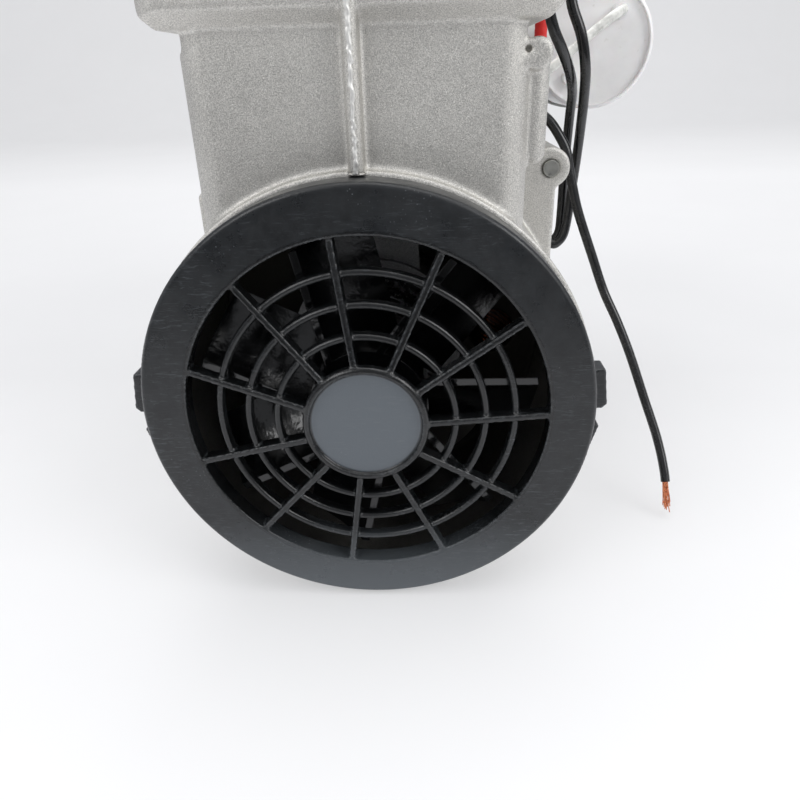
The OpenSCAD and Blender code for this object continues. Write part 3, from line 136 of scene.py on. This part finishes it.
class Paint:
    """A material under construction: a shader and the nodes that drive it."""

    def __init__(self, name, colour, rough, metallic=0.0):
        self.m = bpy.data.materials.new(name)
        self.m.use_nodes = True
        self.t = self.m.node_tree
        self.t.nodes.clear()
        self.out = self.t.nodes.new("ShaderNodeOutputMaterial")
        self.s = self.t.nodes.new("ShaderNodeBsdfPrincipled")
        self.t.links.new(self.s.outputs[0], self.out.inputs[0])
        self.coord = self.t.nodes.new("ShaderNodeTexCoord").outputs["Object"]
        self.s.inputs["Metallic"].default_value = metallic
        self.s.inputs["Roughness"].default_value = rough
        self.s.inputs["Base Color"].default_value = (*colour, 1)
        self.colour = None
        self.base = colour
        self.rough = rough
        self.rough_out = None
        self.normal = None

    def node(self, kind, **values):
        n = self.t.nodes.new(kind)
        for k, v in values.items():
            setattr(n, k, v)
        return n

    def link(self, a, b):
        self.t.links.new(a, b)

    def noise(self, scale, detail=4, rough=0.6, stretch=None, distortion=0.0):
        n = self.node("ShaderNodeTexNoise")
        n.inputs["Scale"].default_value = scale
        n.inputs["Detail"].default_value = detail
        n.inputs["Roughness"].default_value = rough
        n.inputs["Distortion"].default_value = distortion
        self.link(self.stretched(stretch), n.inputs["Vector"])
        return n.outputs["Fac"]

    def stretched(self, stretch):
        if stretch is None:
            return self.coord
        m = self.node("ShaderNodeMapping")
        m.inputs["Scale"].default_value = stretch
        self.link(self.coord, m.inputs["Vector"])
        return m.outputs[0]

    def cells(self, scale):
        n = self.node("ShaderNodeTexVoronoi", feature="F1")
        n.inputs["Scale"].default_value = scale
        self.link(self.coord, n.inputs["Vector"])
        return n.outputs["Distance"]

    def from_shaft(self):
        """Distance from the shaft's axis, in metres."""
        m = self.node("ShaderNodeVectorMath", operation="MULTIPLY_ADD")
        m.inputs[1].default_value = (1, 0, 1)
        m.inputs[2].default_value = (0, 0, -AXIS_Z * MM)
        self.link(self.coord, m.inputs[0])
        d = self.node("ShaderNodeVectorMath", operation="LENGTH")
        self.link(m.outputs[0], d.inputs[0])
        return d.outputs["Value"]

    def along(self, axis):
        s = self.node("ShaderNodeSeparateXYZ")
        self.link(self.coord, s.inputs[0])
        return s.outputs[axis]

    def spread(self, fac, a, b, lo=0.0, hi=1.0):
        r = self.node("ShaderNodeMapRange")
        r.inputs["From Min"].default_value = a
        r.inputs["From Max"].default_value = b
        r.inputs["To Min"].default_value = lo
        r.inputs["To Max"].default_value = hi
        self.link(fac, r.inputs["Value"])
        return r.outputs["Result"]

    def times(self, a, b):
        m = self.node("ShaderNodeMath", operation="MULTIPLY")
        for i, v in enumerate((a, b)):
            if isinstance(v, (int, float)):
                m.inputs[i].default_value = v
            else:
                self.link(v, m.inputs[i])
        return m.outputs[0]

    def tint(self, fac, colour):
        """Lays a colour over what there is, where fac is 1."""
        m = self.node("ShaderNodeMix", data_type="RGBA")
        self.link(fac, m.inputs["Factor"])
        if self.colour is None:
            m.inputs[6].default_value = (*self.base, 1)
        else:
            self.link(self.colour, m.inputs[6])
        m.inputs[7].default_value = (*colour, 1)
        self.colour = m.outputs[2]

    def mottle(self, scale, dark, light, low=0.35, high=0.65, **kw):
        """Cloudy change between two brightnesses of the base colour."""
        f = self.spread(self.noise(scale, **kw), low, high)
        m = self.node("ShaderNodeMix", data_type="RGBA")
        self.link(f, m.inputs["Factor"])
        m.inputs[6].default_value = (*[c * dark for c in self.base], 1)
        m.inputs[7].default_value = (*[min(c * light, 1) for c in self.base], 1)
        if self.colour is None:
            self.colour = m.outputs[2]
        else:
            both = self.node("ShaderNodeMix", data_type="RGBA")
            both.inputs["Factor"].default_value = 0.5
            self.link(self.colour, both.inputs[6])
            self.link(m.outputs[2], both.inputs[7])
            self.colour = both.outputs[2]

    def vary_rough(self, scale, by, **kw):
        low, high = max(self.rough - by, 0.02), min(self.rough + by, 1)
        self.rough_out = self.spread(self.noise(scale, **kw), 0.3, 0.7, low, high)

    def soften(self, radius):
        """Rounds the edges in the shading."""
        b = self.node("ShaderNodeBevel", samples=BEVEL_SAMPLES)
        b.inputs["Radius"].default_value = radius
        self.normal = b.outputs[0]

    def edges(self, radius, low=0.004, high=0.08):
        """1 along edges and 0 on the flats, broken up by noise."""
        b = self.node("ShaderNodeBevel", samples=BEVEL_SAMPLES)
        b.inputs["Radius"].default_value = radius
        g = self.node("ShaderNodeNewGeometry")
        d = self.node("ShaderNodeVectorMath", operation="DOT_PRODUCT")
        self.link(b.outputs[0], d.inputs[0])
        self.link(g.outputs["Normal"], d.inputs[1])
        i = self.node("ShaderNodeMath", operation="SUBTRACT")
        i.inputs[0].default_value = 1
        self.link(d.outputs["Value"], i.inputs[1])
        edge = self.spread(i.outputs[0], low, high)
        return self.times(edge, self.spread(self.noise(900, detail=5), 0.35, 0.6))

    def bump(self, height, strength, distance):
        b = self.node("ShaderNodeBump")
        b.inputs["Strength"].default_value = strength
        b.inputs["Distance"].default_value = distance
        self.link(height, b.inputs["Height"])
        if self.normal is not None:
            self.link(self.normal, b.inputs["Normal"])
        self.normal = b.outputs[0]

    def done(self, **sockets):
        if self.colour is not None:
            self.link(self.colour, self.s.inputs["Base Color"])
        if self.rough_out is not None:
            self.link(self.rough_out, self.s.inputs["Roughness"])
        if self.normal is not None:
            self.link(self.normal, self.s.inputs["Normal"])
        for k, v in sockets.items():
            self.s.inputs[k.replace("_", " ")].default_value = v
        return self.m


def blasted_aluminium(name, base, shaded_inside=False):
    p = Paint(name, base, 0.55, 0.9)
    p.mottle(24, 0.8, 1.1, detail=6)
    p.mottle(3600, 0.44, 1.56, low=0.34, high=0.66, detail=2)
    # painted glints: tiny near-white specks laid into the colour of the blasted metal
    painted_glints = p.times(p.spread(p.cells(1900), 0.22, 0.1), p.spread(p.noise(900, detail=2), 0.5, 0.58))
    p.tint(painted_glints, (0.95, 0.95, 0.93))
    # painted highlight: a lighter colour along the edges
    p.tint(p.edges(0.0008, 0.01, 0.1), tuple(min(c * 1.5, 1) for c in base))
    if shaded_inside:
        p.tint(p.spread(p.from_shaft(), *CASTING_BORE), lin(58, 56, 52))
    p.vary_rough(900, 0.08)
    p.soften(0.0005)
    p.bump(p.noise(2300, detail=3, rough=0.7), 0.6, 0.00014)
    p.bump(p.noise(120, detail=4), 0.3, 0.0004)
    return p.done()


def machined(name, base, rough, stretch=(1, 1, 1), grain=2600, strength=0.25, metallic=1.0):
    p = Paint(name, base, rough, metallic)
    p.mottle(70, 0.88, 1.08, detail=5)
    # painted highlight: a lighter colour along the edges
    p.tint(p.edges(0.0006), tuple(min(c * 1.3, 1) for c in base))
    p.vary_rough(500, 0.08)
    p.soften(0.0004)
    p.bump(p.noise(grain, detail=3, stretch=stretch), strength, 0.00005)
    return p.done()


def cover_plastic():
    base = lin(29, 31, 33)
    p = Paint("cover_plastic", base, 0.33)
    p.mottle(26, 0.7, 1.3, detail=6)
    p.mottle(420, 0.6, 1.5, low=0.32, high=0.68, detail=4)
    # Glossier and darker in the grille, a painted shade; lighter on the centre disc and low on the rim, a
    # painted reflection of the floor
    away = p.from_shaft()
    grille = p.spread(away, *GRILLE_EDGE)
    p.tint(grille, lin(15, 16, 17))
    p.tint(p.spread(away, *DISC_EDGE), lin(88, 94, 100))
    p.tint(p.spread(p.along("Z"), 0.03, 0.004, 0.0, 0.9), lin(88, 93, 97))
    specks = p.times(p.spread(p.cells(900), 0.16, 0.06), p.spread(p.noise(70, detail=5), 0.56, 0.68))
    p.tint(specks, lin(104, 108, 112))
    for stretch in ((0.12, 1, 1), (0.2, 1, 1.4)):
        lines = p.spread(p.noise(1500, detail=3, stretch=stretch, distortion=0.9), 0.58, 0.74, 0.0, 0.45)
        p.tint(p.times(lines, p.spread(p.noise(45, detail=6), 0.42, 0.62)), lin(100, 105, 109))
    # painted highlight: a lighter colour along the edges of spokes, rings and rim
    p.tint(p.edges(0.0009, 0.02, 0.2), lin(128, 133, 137))
    p.vary_rough(120, 0.1, detail=6)
    p.rough_out = p.times(p.rough_out, p.spread(grille, 0, 1, 1.0, 0.6))
    p.soften(0.0005)
    p.bump(p.noise(1300, detail=4, rough=0.65), 0.45, 0.0001)
    return p.done(Specular_IOR_Level=0.5)


def glossy_plastic(name, base, rough, waves=0.2):
    p = Paint(name, base, rough)
    p.mottle(60, 0.8, 1.3, detail=5)
    p.tint(p.spread(p.noise(500, detail=6), 0.62, 0.75), tuple(c * 2.2 + 0.006 for c in base))
    p.vary_rough(140, 0.1, detail=5)
    p.soften(0.0004)
    p.bump(p.noise(190, detail=3), waves, 0.0003)
    return p.done(Coat_Weight=0.25, Coat_Roughness=0.15)


def grained_plastic(name, base, rough=0.5, grain=1600):
    p = Paint(name, base, rough)
    p.mottle(55, 0.85, 1.15, detail=5)
    # painted highlight: a lighter colour along the edges
    p.tint(p.edges(0.0006), tuple(min(c * 1.4 + 0.01, 1) for c in base))
    p.vary_rough(200, 0.08)
    p.soften(0.0005)
    p.bump(p.noise(grain, detail=4), 0.35, 0.00008)
    return p.done()


def lead_skin(name, base, rough=0.24):
    p = Paint(name, base, rough)
    p.mottle(150, 0.7, 1.5, detail=5)
    p.tint(p.spread(p.noise(1200, detail=5), 0.6, 0.72), tuple(min(c * 1.6 + 0.02, 1) for c in base))
    p.vary_rough(260, 0.1)
    p.bump(p.noise(700, detail=4), 0.25, 0.0001)
    return p.done(Coat_Weight=0.2, Coat_Roughness=0.2)


def rubber(name, base):
    p = Paint(name, base, 0.7)
    p.mottle(120, 0.8, 1.25, detail=5)
    p.tint(p.spread(p.noise(800, detail=6), 0.6, 0.8), tuple(min(c * 1.5 + 0.02, 1) for c in base))
    p.vary_rough(400, 0.1)
    p.soften(0.0004)
    p.bump(p.noise(2200, detail=4), 0.4, 0.00008)
    return p.done(Sheen_Weight=0.05)


def laminations():
    base = lin(62, 60, 60)
    p = Paint("lamination_steel", base, 0.45, 0.7)
    w = p.node("ShaderNodeTexWave", wave_type="BANDS", bands_direction="Y")
    w.inputs["Scale"].default_value = 320
    w.inputs["Distortion"].default_value = 0.15
    w.inputs["Detail"].default_value = 2
    p.link(p.coord, w.inputs["Vector"])
    p.mottle(60, 0.75, 1.2, detail=6)
    p.tint(p.spread(w.outputs["Fac"], 0.75, 1.0), lin(126, 122, 118))
    p.tint(p.spread(p.noise(180, detail=7), 0.6, 0.74), lin(96, 74, 58))
    p.vary_rough(500, 0.1)
    p.bump(w.outputs["Fac"], 0.5, 0.00012)
    p.bump(p.noise(1900, detail=3), 0.25, 0.00006)
    return p.done()


def winding_copper():
    base = lin(150, 76, 42)
    p = Paint("winding_copper", base, 0.34, 0.85)
    w = p.node("ShaderNodeTexWave", wave_type="RINGS", rings_direction="Y")
    w.inputs["Scale"].default_value = 210
    w.inputs["Distortion"].default_value = 2.4
    w.inputs["Detail"].default_value = 3
    p.link(p.coord, w.inputs["Vector"])
    p.mottle(90, 0.7, 1.25, detail=6)
    # painted shade in the grooves between the turns of wire
    p.tint(p.spread(w.outputs["Fac"], 0.25, 0.0), lin(58, 26, 16))
    p.vary_rough(320, 0.1)
    p.bump(w.outputs["Fac"], 0.7, 0.0004)
    return p.done(Coat_Weight=0.5, Coat_Roughness=0.25)


def threaded(name, base, rough, axis="Y", pitch_scale=393):
    """Plated metal whose round faces carry a thread."""
    p = Paint(name, base, rough, 1.0)
    w = p.node("ShaderNodeTexWave", wave_type="BANDS", bands_direction=axis)
    w.inputs["Scale"].default_value = pitch_scale
    p.link(p.coord, w.inputs["Vector"])
    g = p.node("ShaderNodeNewGeometry")
    sep = p.node("ShaderNodeSeparateXYZ")
    p.link(g.outputs["Normal"], sep.inputs[0])
    a = p.node("ShaderNodeMath", operation="ABSOLUTE")
    p.link(sep.outputs[axis], a.inputs[0])
    side = p.spread(a.outputs[0], 0.1, 0.05)
    p.mottle(160, 0.84, 1.12, detail=5)
    # painted shade in the thread's grooves on the round faces
    p.tint(p.times(p.spread(w.outputs["Fac"], 0.35, 0.05), side), tuple(c * 0.35 for c in base))
    # painted highlight: a lighter colour along the edges
    p.tint(p.edges(0.0006), tuple(min(c * 1.3, 1) for c in base))
    p.vary_rough(500, 0.1)
    p.soften(0.0003)
    p.bump(p.times(w.outputs["Fac"], side), 0.8, 0.0004)
    p.bump(p.noise(2400, detail=3), 0.2, 0.00004)
    return p.done()


def felt():
    p = Paint("filter_felt", lin(214, 206, 186), 0.95)
    p.mottle(240, 0.8, 1.1, detail=6)
    p.tint(p.spread(p.noise(1300, detail=5, stretch=(1, 0.2, 1)), 0.55, 0.7), lin(236, 230, 214))
    p.vary_rough(600, 0.04)
    p.bump(p.noise(1800, detail=6, rough=0.8), 0.8, 0.0004)
    return p.done(Sheen_Weight=0.4)


def capacitor_skin():
    p = Paint("capacitor_plastic", lin(250, 249, 248), 0.38)
    p.mottle(40, 0.93, 1.04, detail=5)
    p.tint(p.spread(p.noise(420, detail=6), 0.64, 0.78), lin(222, 220, 215))
    p.vary_rough(160, 0.08)
    p.soften(0.0006)
    p.bump(p.noise(240, detail=4), 0.15, 0.00015)
    return p.done(Subsurface_Weight=0.05, Subsurface_Scale=0.002)


LOOKS = {
    "cast_aluminium": blasted_aluminium("cast_aluminium", lin(206, 204, 199), True),
    "cover_plastic": cover_plastic(),
    "fan_plastic": glossy_plastic("fan_plastic", lin(9, 10, 11), 0.13, 0.5),
    "bright_steel": machined("bright_steel", lin(188, 188, 190), 0.24, (1, 12, 1)),
    "zinc_steel": threaded("zinc_steel", lin(178, 178, 172), 0.34),
    "lamination_steel": laminations(),
    "cage_aluminium": blasted_aluminium("cage_aluminium", lin(190, 190, 190)),
    "winding_copper": winding_copper(),
    "crank_iron": machined("crank_iron", lin(120, 118, 114), 0.4, (1, 1, 8), 1500, 0.4),
    "black_steel": machined("black_steel", lin(44, 44, 46), 0.36, (1, 1, 1), 1700, 0.4, 0.9),
    "rod_aluminium": blasted_aluminium("rod_aluminium", lin(182, 182, 182)),
    "cup_plastic": grained_plastic("cup_plastic", lin(118, 84, 56), 0.45),
    "sleeve_aluminium": machined("sleeve_aluminium", lin(176, 178, 180), 0.22, (1, 1, 14), 1800),
    "seal_rubber": rubber("seal_rubber", lin(134, 44, 34)),
    "plate_aluminium": machined("plate_aluminium", lin(188, 188, 188), 0.3, (1, 9, 1), 1400),
    "reed_steel": machined("reed_steel", lin(150, 156, 164), 0.2, (1, 10, 1), 2200),
    "gasket_sheet": rubber("gasket_sheet", lin(66, 66, 62)),
    "head_aluminium": blasted_aluminium("head_aluminium", lin(174, 173, 171)),
    "pipe_brass": threaded("pipe_brass", lin(196, 164, 96), 0.3, "X", 314),
    "filter_plastic": grained_plastic("filter_plastic", lin(32, 33, 35)),
    "filter_felt": felt(),
    "capacitor_plastic": capacitor_skin(),
    "band_steel": machined("band_steel", lin(176, 176, 174), 0.3, (1, 14, 1), 1500),
    "white_lead": lead_skin("white_lead", lin(214, 214, 208), 0.35),
    "red_sleeve": grained_plastic("red_sleeve", lin(214, 40, 34), 0.4, 900),
    "black_lead": lead_skin("black_lead", lin(20, 20, 21)),
    "switch_plastic": glossy_plastic("switch_plastic", lin(30, 30, 30), 0.3),
    "grommet_rubber": rubber("grommet_rubber", lin(30, 30, 30)),
}
# A brighter copy of the cast aluminium for the rib's flash line: a painted highlight
flash_highlight_metal = machined("flash_highlight_metal", lin(236, 235, 231), 0.5, (1, 1, 1), 1900, 0.5, 0.8)
copper_strand = machined("copper_strand", lin(224, 142, 104), 0.28, (1, 1, 1), 3000, 0.3)

for part in frame["record"]["subparts"]:
    o = nodes[part["node"]]
    o.data.materials.clear()
    o.data.materials.append(LOOKS[part["material_slot"]])


# Pieces
def place(name, mesh, body, look):
    o = bpy.data.objects.new(name, mesh)
    scene.collection.objects.link(o)
    mesh.materials.clear()
    mesh.materials.append(look)
    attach(o, body)
    return o


def tube_mesh(name, path, radius, sides):
    """A closed tube along the path; radius is a number or a function of the share along it and the angle."""
    verts, faces = [], []
    side = None
    n = len(path)
    for k, c in enumerate(path):
        d = (path[min(k + 1, n - 1)] - path[max(k - 1, 0)]).normalized()
        if side is None:
            side = d.orthogonal().normalized()
        side = (side - d * side.dot(d)).normalized()
        other = d.cross(side)
        for j in range(sides):
            a = 2 * math.pi * j / sides
            r = radius(k / (n - 1), a) if callable(radius) else radius
            verts.append(c + r * (math.cos(a) * side + math.sin(a) * other))
    for k in range(n - 1):
        for j in range(sides):
            m = (j + 1) % sides
            faces.append((k * sides + j, k * sides + m, (k + 1) * sides + m, (k + 1) * sides + j))
    faces.append(tuple(reversed(range(sides))))
    faces.append(tuple((n - 1) * sides + j for j in range(sides)))
    me = bpy.data.meshes.new(name)
    me.from_pydata(verts, [], faces)
    me.shade_smooth()
    return me


# The free lead: its insulation as a curve, then the bare strands at its end
BARE_LENGTH = 10.5 * MM
free_path = smooth_route(FREE)
insulated = list(free_path)
while route_length(free_path) - route_length(insulated) < BARE_LENGTH:
    insulated.pop()
curve = bpy.data.curves.new("free_cord", "CURVE")
curve.dimensions = "3D"
curve.bevel_depth = LEAD_R * MM
curve.bevel_resolution = 5
curve.use_fill_caps = True
spline = curve.splines.new("POLY")
spline.points.add(len(insulated) - 1)
for q, c in zip(spline.points, insulated):
    q.co = (*c, 1)
spline.use_smooth = True
free_cord = bpy.data.objects.new("free_cord", curve)
scene.collection.objects.link(free_cord)
curve.materials.append(LOOKS["black_lead"])
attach(free_cord, "housing")
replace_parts(free_cord, "free_lead")

STRANDS = 19
STRAND_R = 0.00017
STRAND_PITCH = 0.00042
STRAND_STEPS = 8
STRAND_TWIST = 1.3
STRAND_SWAY = 0.0002
random.seed(7)
strand_end = free_path[-1] + Vector((0, 0, 0.0004))
strand_start = insulated[-2]
verts, faces = [], []
for k in range(STRANDS):
    ring = 0 if k == 0 else 1 + (k > 6)
    around = 2 * math.pi * k / (6 if ring == 1 else 12)
    wide = ring * STRAND_PITCH
    splay = 1.0 + random.uniform(0.0, 0.8) * (ring > 0)
    short = random.uniform(0.74, 1.0)
    path = []
    for i in range(STRAND_STEPS + 1):
        t = i / STRAND_STEPS
        c = strand_start.lerp(strand_end, t * short)
        turn = around + STRAND_TWIST * t
        grow = wide * (1 + (splay - 1) * t * t)
        sway = STRAND_SWAY * math.sin(5 * t + k)
        path.append(c + Vector((math.cos(turn) * grow, math.sin(turn) * grow * 0.8, sway)))
    m = tube_mesh("strand", path, STRAND_R, 6)
    base = len(verts)
    verts += [v.co.copy() for v in m.vertices]
    faces += [tuple(base + i for i in f.vertices) for f in m.polygons]
    bpy.data.meshes.remove(m)
strands = bpy.data.meshes.new("free_strands")
strands.from_pydata(verts, [], faces)
strands.shade_smooth()
strand_piece = place("free_strands", strands, "housing", copper_strand)

# Leads that are held at both ends
for name, route, slot in (("lead_a", LEAD_A, "black_lead"), ("lead_b", LEAD_B, "black_lead"),
                          ("link_lead", LINK, "black_lead"), ("capacitor_lead", CAPACITOR, "white_lead")):
    me = tube_mesh(name + "_skin", smooth_route(route), LEAD_R * MM, 18)
    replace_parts(place(name + "_skin", me, "housing", LOOKS[slot]), name)


def shrunk(t, a):
    """Radius of the shrunk sleeve: drawn in at both ends, with soft wrinkles."""
    ends = min(t, 1 - t)
    r = LEAD_R + 0.1 + 0.4 * min(1, ends * 9)
    return (r - 0.05 * abs(math.sin(3 * a + 9 * t)) - 0.03 * math.sin(40 * t)) * MM


SPLICE_STEPS = 40
splice_path = [at_front(SPLICE[0]).lerp(at_front(SPLICE[2]), i / SPLICE_STEPS) for i in range(SPLICE_STEPS + 1)]
splice_mesh = tube_mesh("splice_skin", splice_path, shrunk, 20)
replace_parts(place("splice_skin", splice_mesh, "housing", LOOKS["red_sleeve"]), "splice_sleeve")


# Castings and mouldings: the solids rebuilt as one skin whose edges and inner corners are round
WELD_GAP = 0.00001


def round_skin(name, node, slot, voxel, passes):
    """Stands for the node: its solid rebuilt on a grid of the voxel's size, then smoothed so many times."""
    me = nodes[node].data.copy()
    o = bpy.data.objects.new(name, me)
    scene.collection.objects.link(o)
    weld = o.modifiers.new("weld", "WELD")
    weld.merge_threshold = WELD_GAP
    remesh = o.modifiers.new("remesh", "REMESH")
    remesh.mode = "VOXEL"
    remesh.voxel_size = voxel
    round_off = o.modifiers.new("round", "SMOOTH")
    round_off.factor = 0.5
    round_off.iterations = passes
    deps = bpy.context.evaluated_depsgraph_get()
    skin = bpy.data.meshes.new_from_object(o.evaluated_get(deps))
    o.modifiers.clear()
    o.data = skin
    skin.name = name
    skin.shade_smooth()
    skin.materials.clear()
    skin.materials.append(LOOKS[slot])
    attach(o, "housing")
    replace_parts(o, node)


round_skin("front_casting", "front_crankcase", "cast_aluminium", 0.0006, 4)
round_skin("rear_casting", "rear_crankcase", "cast_aluminium", 0.0010, 3)
round_skin("front_cover_skin", "front_fan_cover", "cover_plastic", 0.00038, 2)
round_skin("rear_cover_skin", "rear_fan_cover", "cover_plastic", 0.0006, 2)


# The rough flash line down the rib's front, in millimetres but for its own radius
FLASH_R = 0.00068
RIB_FRONT = 7.1
RIB_LOW = 63.2
RIB_HIGH = 106.6
RIB_STEPS = 220
rib_path = []
for i in range(RIB_STEPS + 1):
    z = RIB_LOW + (RIB_HIGH - RIB_LOW) * i / RIB_STEPS
    wobble = 0.3 * noise.noise(Vector((0, 3, z * 0.35))) + 0.12 * noise.noise(Vector((5, 0, z * 1.4)))
    proud = 0.18 + 0.14 * noise.noise(Vector((9, 9, z * 0.8)))
    rib_path.append(at_front((wobble, RIB_FRONT + proud, z)))


def lumpy(t, a):
    """Radius of the flash line, in metres."""
    c = rib_path[min(int(t * RIB_STEPS), RIB_STEPS)]
    return FLASH_R * (1 + 0.8 * noise.noise(Vector((c.x * 900 + 3, c.y * 900, c.z * 1100 + a))))


place("rib_flash", tube_mesh("rib_flash", rib_path, lumpy, 10), "housing", flash_highlight_metal)

# The rib's foot, run out over the cover's edge
FOOT_R = 0.0021
FOOT_FLAT = 0.24
foot_path = [at_front((0, 7.4 + 0.3 * i, 63.08)) for i in range(9)]
foot = tube_mesh("rib_foot", foot_path, lambda t, a: FOOT_R * math.sin(math.pi * (0.2 + 0.6 * t)), 20)
for v in foot.vertices:
    v.co.z = foot_path[0].z + (v.co.z - foot_path[0].z) * FOOT_FLAT
place("rib_foot", foot, "housing", LOOKS["cast_aluminium"])


# Floor and sweep behind it
def sweep():
    near, half, high = -2.5, 4, 4
    bend_y, bend_r, steps = 1.7, 0.9, 24
    turns = [math.pi / 2 * i / steps for i in range(steps + 1)]
    bend = [(bend_y + bend_r * math.sin(a), bend_r - bend_r * math.cos(a)) for a in turns]
    profile = [(near, 0)] + bend + [(bend_y + bend_r, high)]
    verts, faces = [], []
    for y, z in profile:
        verts += [(-half, y, z), (half, y, z)]
    for k in range(len(profile) - 1):
        faces.append((2 * k, 2 * k + 1, 2 * k + 3, 2 * k + 2))
    me = bpy.data.meshes.new("floor")
    me.from_pydata(verts, [], faces)
    me.shade_smooth()
    o = bpy.data.objects.new("floor", me)
    scene.collection.objects.link(o)
    p = Paint("floor", lin(236, 236, 238), 0.55)
    p.mottle(6, 0.985, 1.01, detail=3)
    p.bump(p.noise(300, detail=3), 0.02, 0.0002)
    # What the camera sees of it is lifted towards white by this share; the object's shadow stays
    lift, shade_band_tone = 0.46, 0.72
    glow = p.node("ShaderNodeEmission")
    # The glow is dimmer in a band from in front of the object to behind it: painted shade on the floor
    tone = p.node("ShaderNodeMix", data_type="RGBA")
    tone.inputs[6].default_value = (1.0, 1.0, 1.0, 1)
    tone.inputs[7].default_value = (shade_band_tone, shade_band_tone, shade_band_tone, 1)
    y = p.along("Y")
    p.link(p.times(p.spread(y, -0.22, 0.05), p.spread(y, 0.75, 0.1)), tone.inputs["Factor"])
    p.link(tone.outputs[2], glow.inputs["Color"])
    glow.inputs["Strength"].default_value = 1.0
    both = p.node("ShaderNodeMixShader")
    p.link(p.times(p.node("ShaderNodeLightPath").outputs["Is Camera Ray"], lift), both.inputs[0])
    p.link(p.s.outputs[0], both.inputs[1])
    p.link(glow.outputs[0], both.inputs[2])
    p.link(both.outputs[0], p.out.inputs[0])
    me.materials.append(p.done())


# Dark sheet on the floor in front, there only for a painted dark reflection: the cover's face reflects it at
# its top; a direct look and the shadows go through it
def dark_reflection_sheet():
    me = bpy.data.meshes.new("dark_reflection_sheet")
    half, near, far, lift = 1.2, -1.5, -0.36, 0.001
    corners = [(-half, near, lift), (half, near, lift), (half, far, lift), (-half, far, lift)]
    me.from_pydata(corners, [], [(0, 1, 2, 3)])
    o = bpy.data.objects.new("dark_reflection_sheet", me)
    scene.collection.objects.link(o)
    p = Paint("dark_reflection_sheet", lin(22, 22, 23), 0.9)
    p.mottle(8, 0.9, 1.1, detail=3)
    ray = p.node("ShaderNodeLightPath")
    seen = p.node("ShaderNodeMath", operation="MAXIMUM")
    p.link(ray.outputs["Is Camera Ray"], seen.inputs[0])
    p.link(ray.outputs["Is Shadow Ray"], seen.inputs[1])
    both = p.node("ShaderNodeMixShader")
    p.link(seen.outputs[0], both.inputs[0])
    p.link(p.s.outputs[0], both.inputs[1])
    p.link(p.node("ShaderNodeBsdfTransparent").outputs[0], both.inputs[2])
    p.link(both.outputs[0], p.out.inputs[0])
    me.materials.append(p.done())


sweep()
dark_reflection_sheet()


def area(name, where, aim, size, power):
    d = bpy.data.lights.new(name, "AREA")
    d.shape = "RECTANGLE"
    d.size, d.size_y = size
    d.energy = power
    o = bpy.data.objects.new(name, d)
    scene.collection.objects.link(o)
    o.location = where
    o.rotation_euler = (Vector(aim) - Vector(where)).to_track_quat("-Z", "Y").to_euler()


area("top", (0.1, 0.2, 1.6), (0, 0, 0), (1.8, 1.6), 21)
area("front_left", (-1.0, -1.0, 1.1), (0, -0.05, 0.1), (1.0, 0.8), 9)
area("front_right", (1.2, -0.8, 0.9), (0, -0.05, 0.1), (0.9, 0.8), 10)

world = bpy.data.worlds.new("studio")
scene.world = world
world.use_nodes = True
world.node_tree.nodes["Background"].inputs["Color"].default_value = (0.93, 0.95, 1.0, 1)
world.node_tree.nodes["Background"].inputs["Strength"].default_value = 0.45
scene.view_settings.view_transform = "Standard"
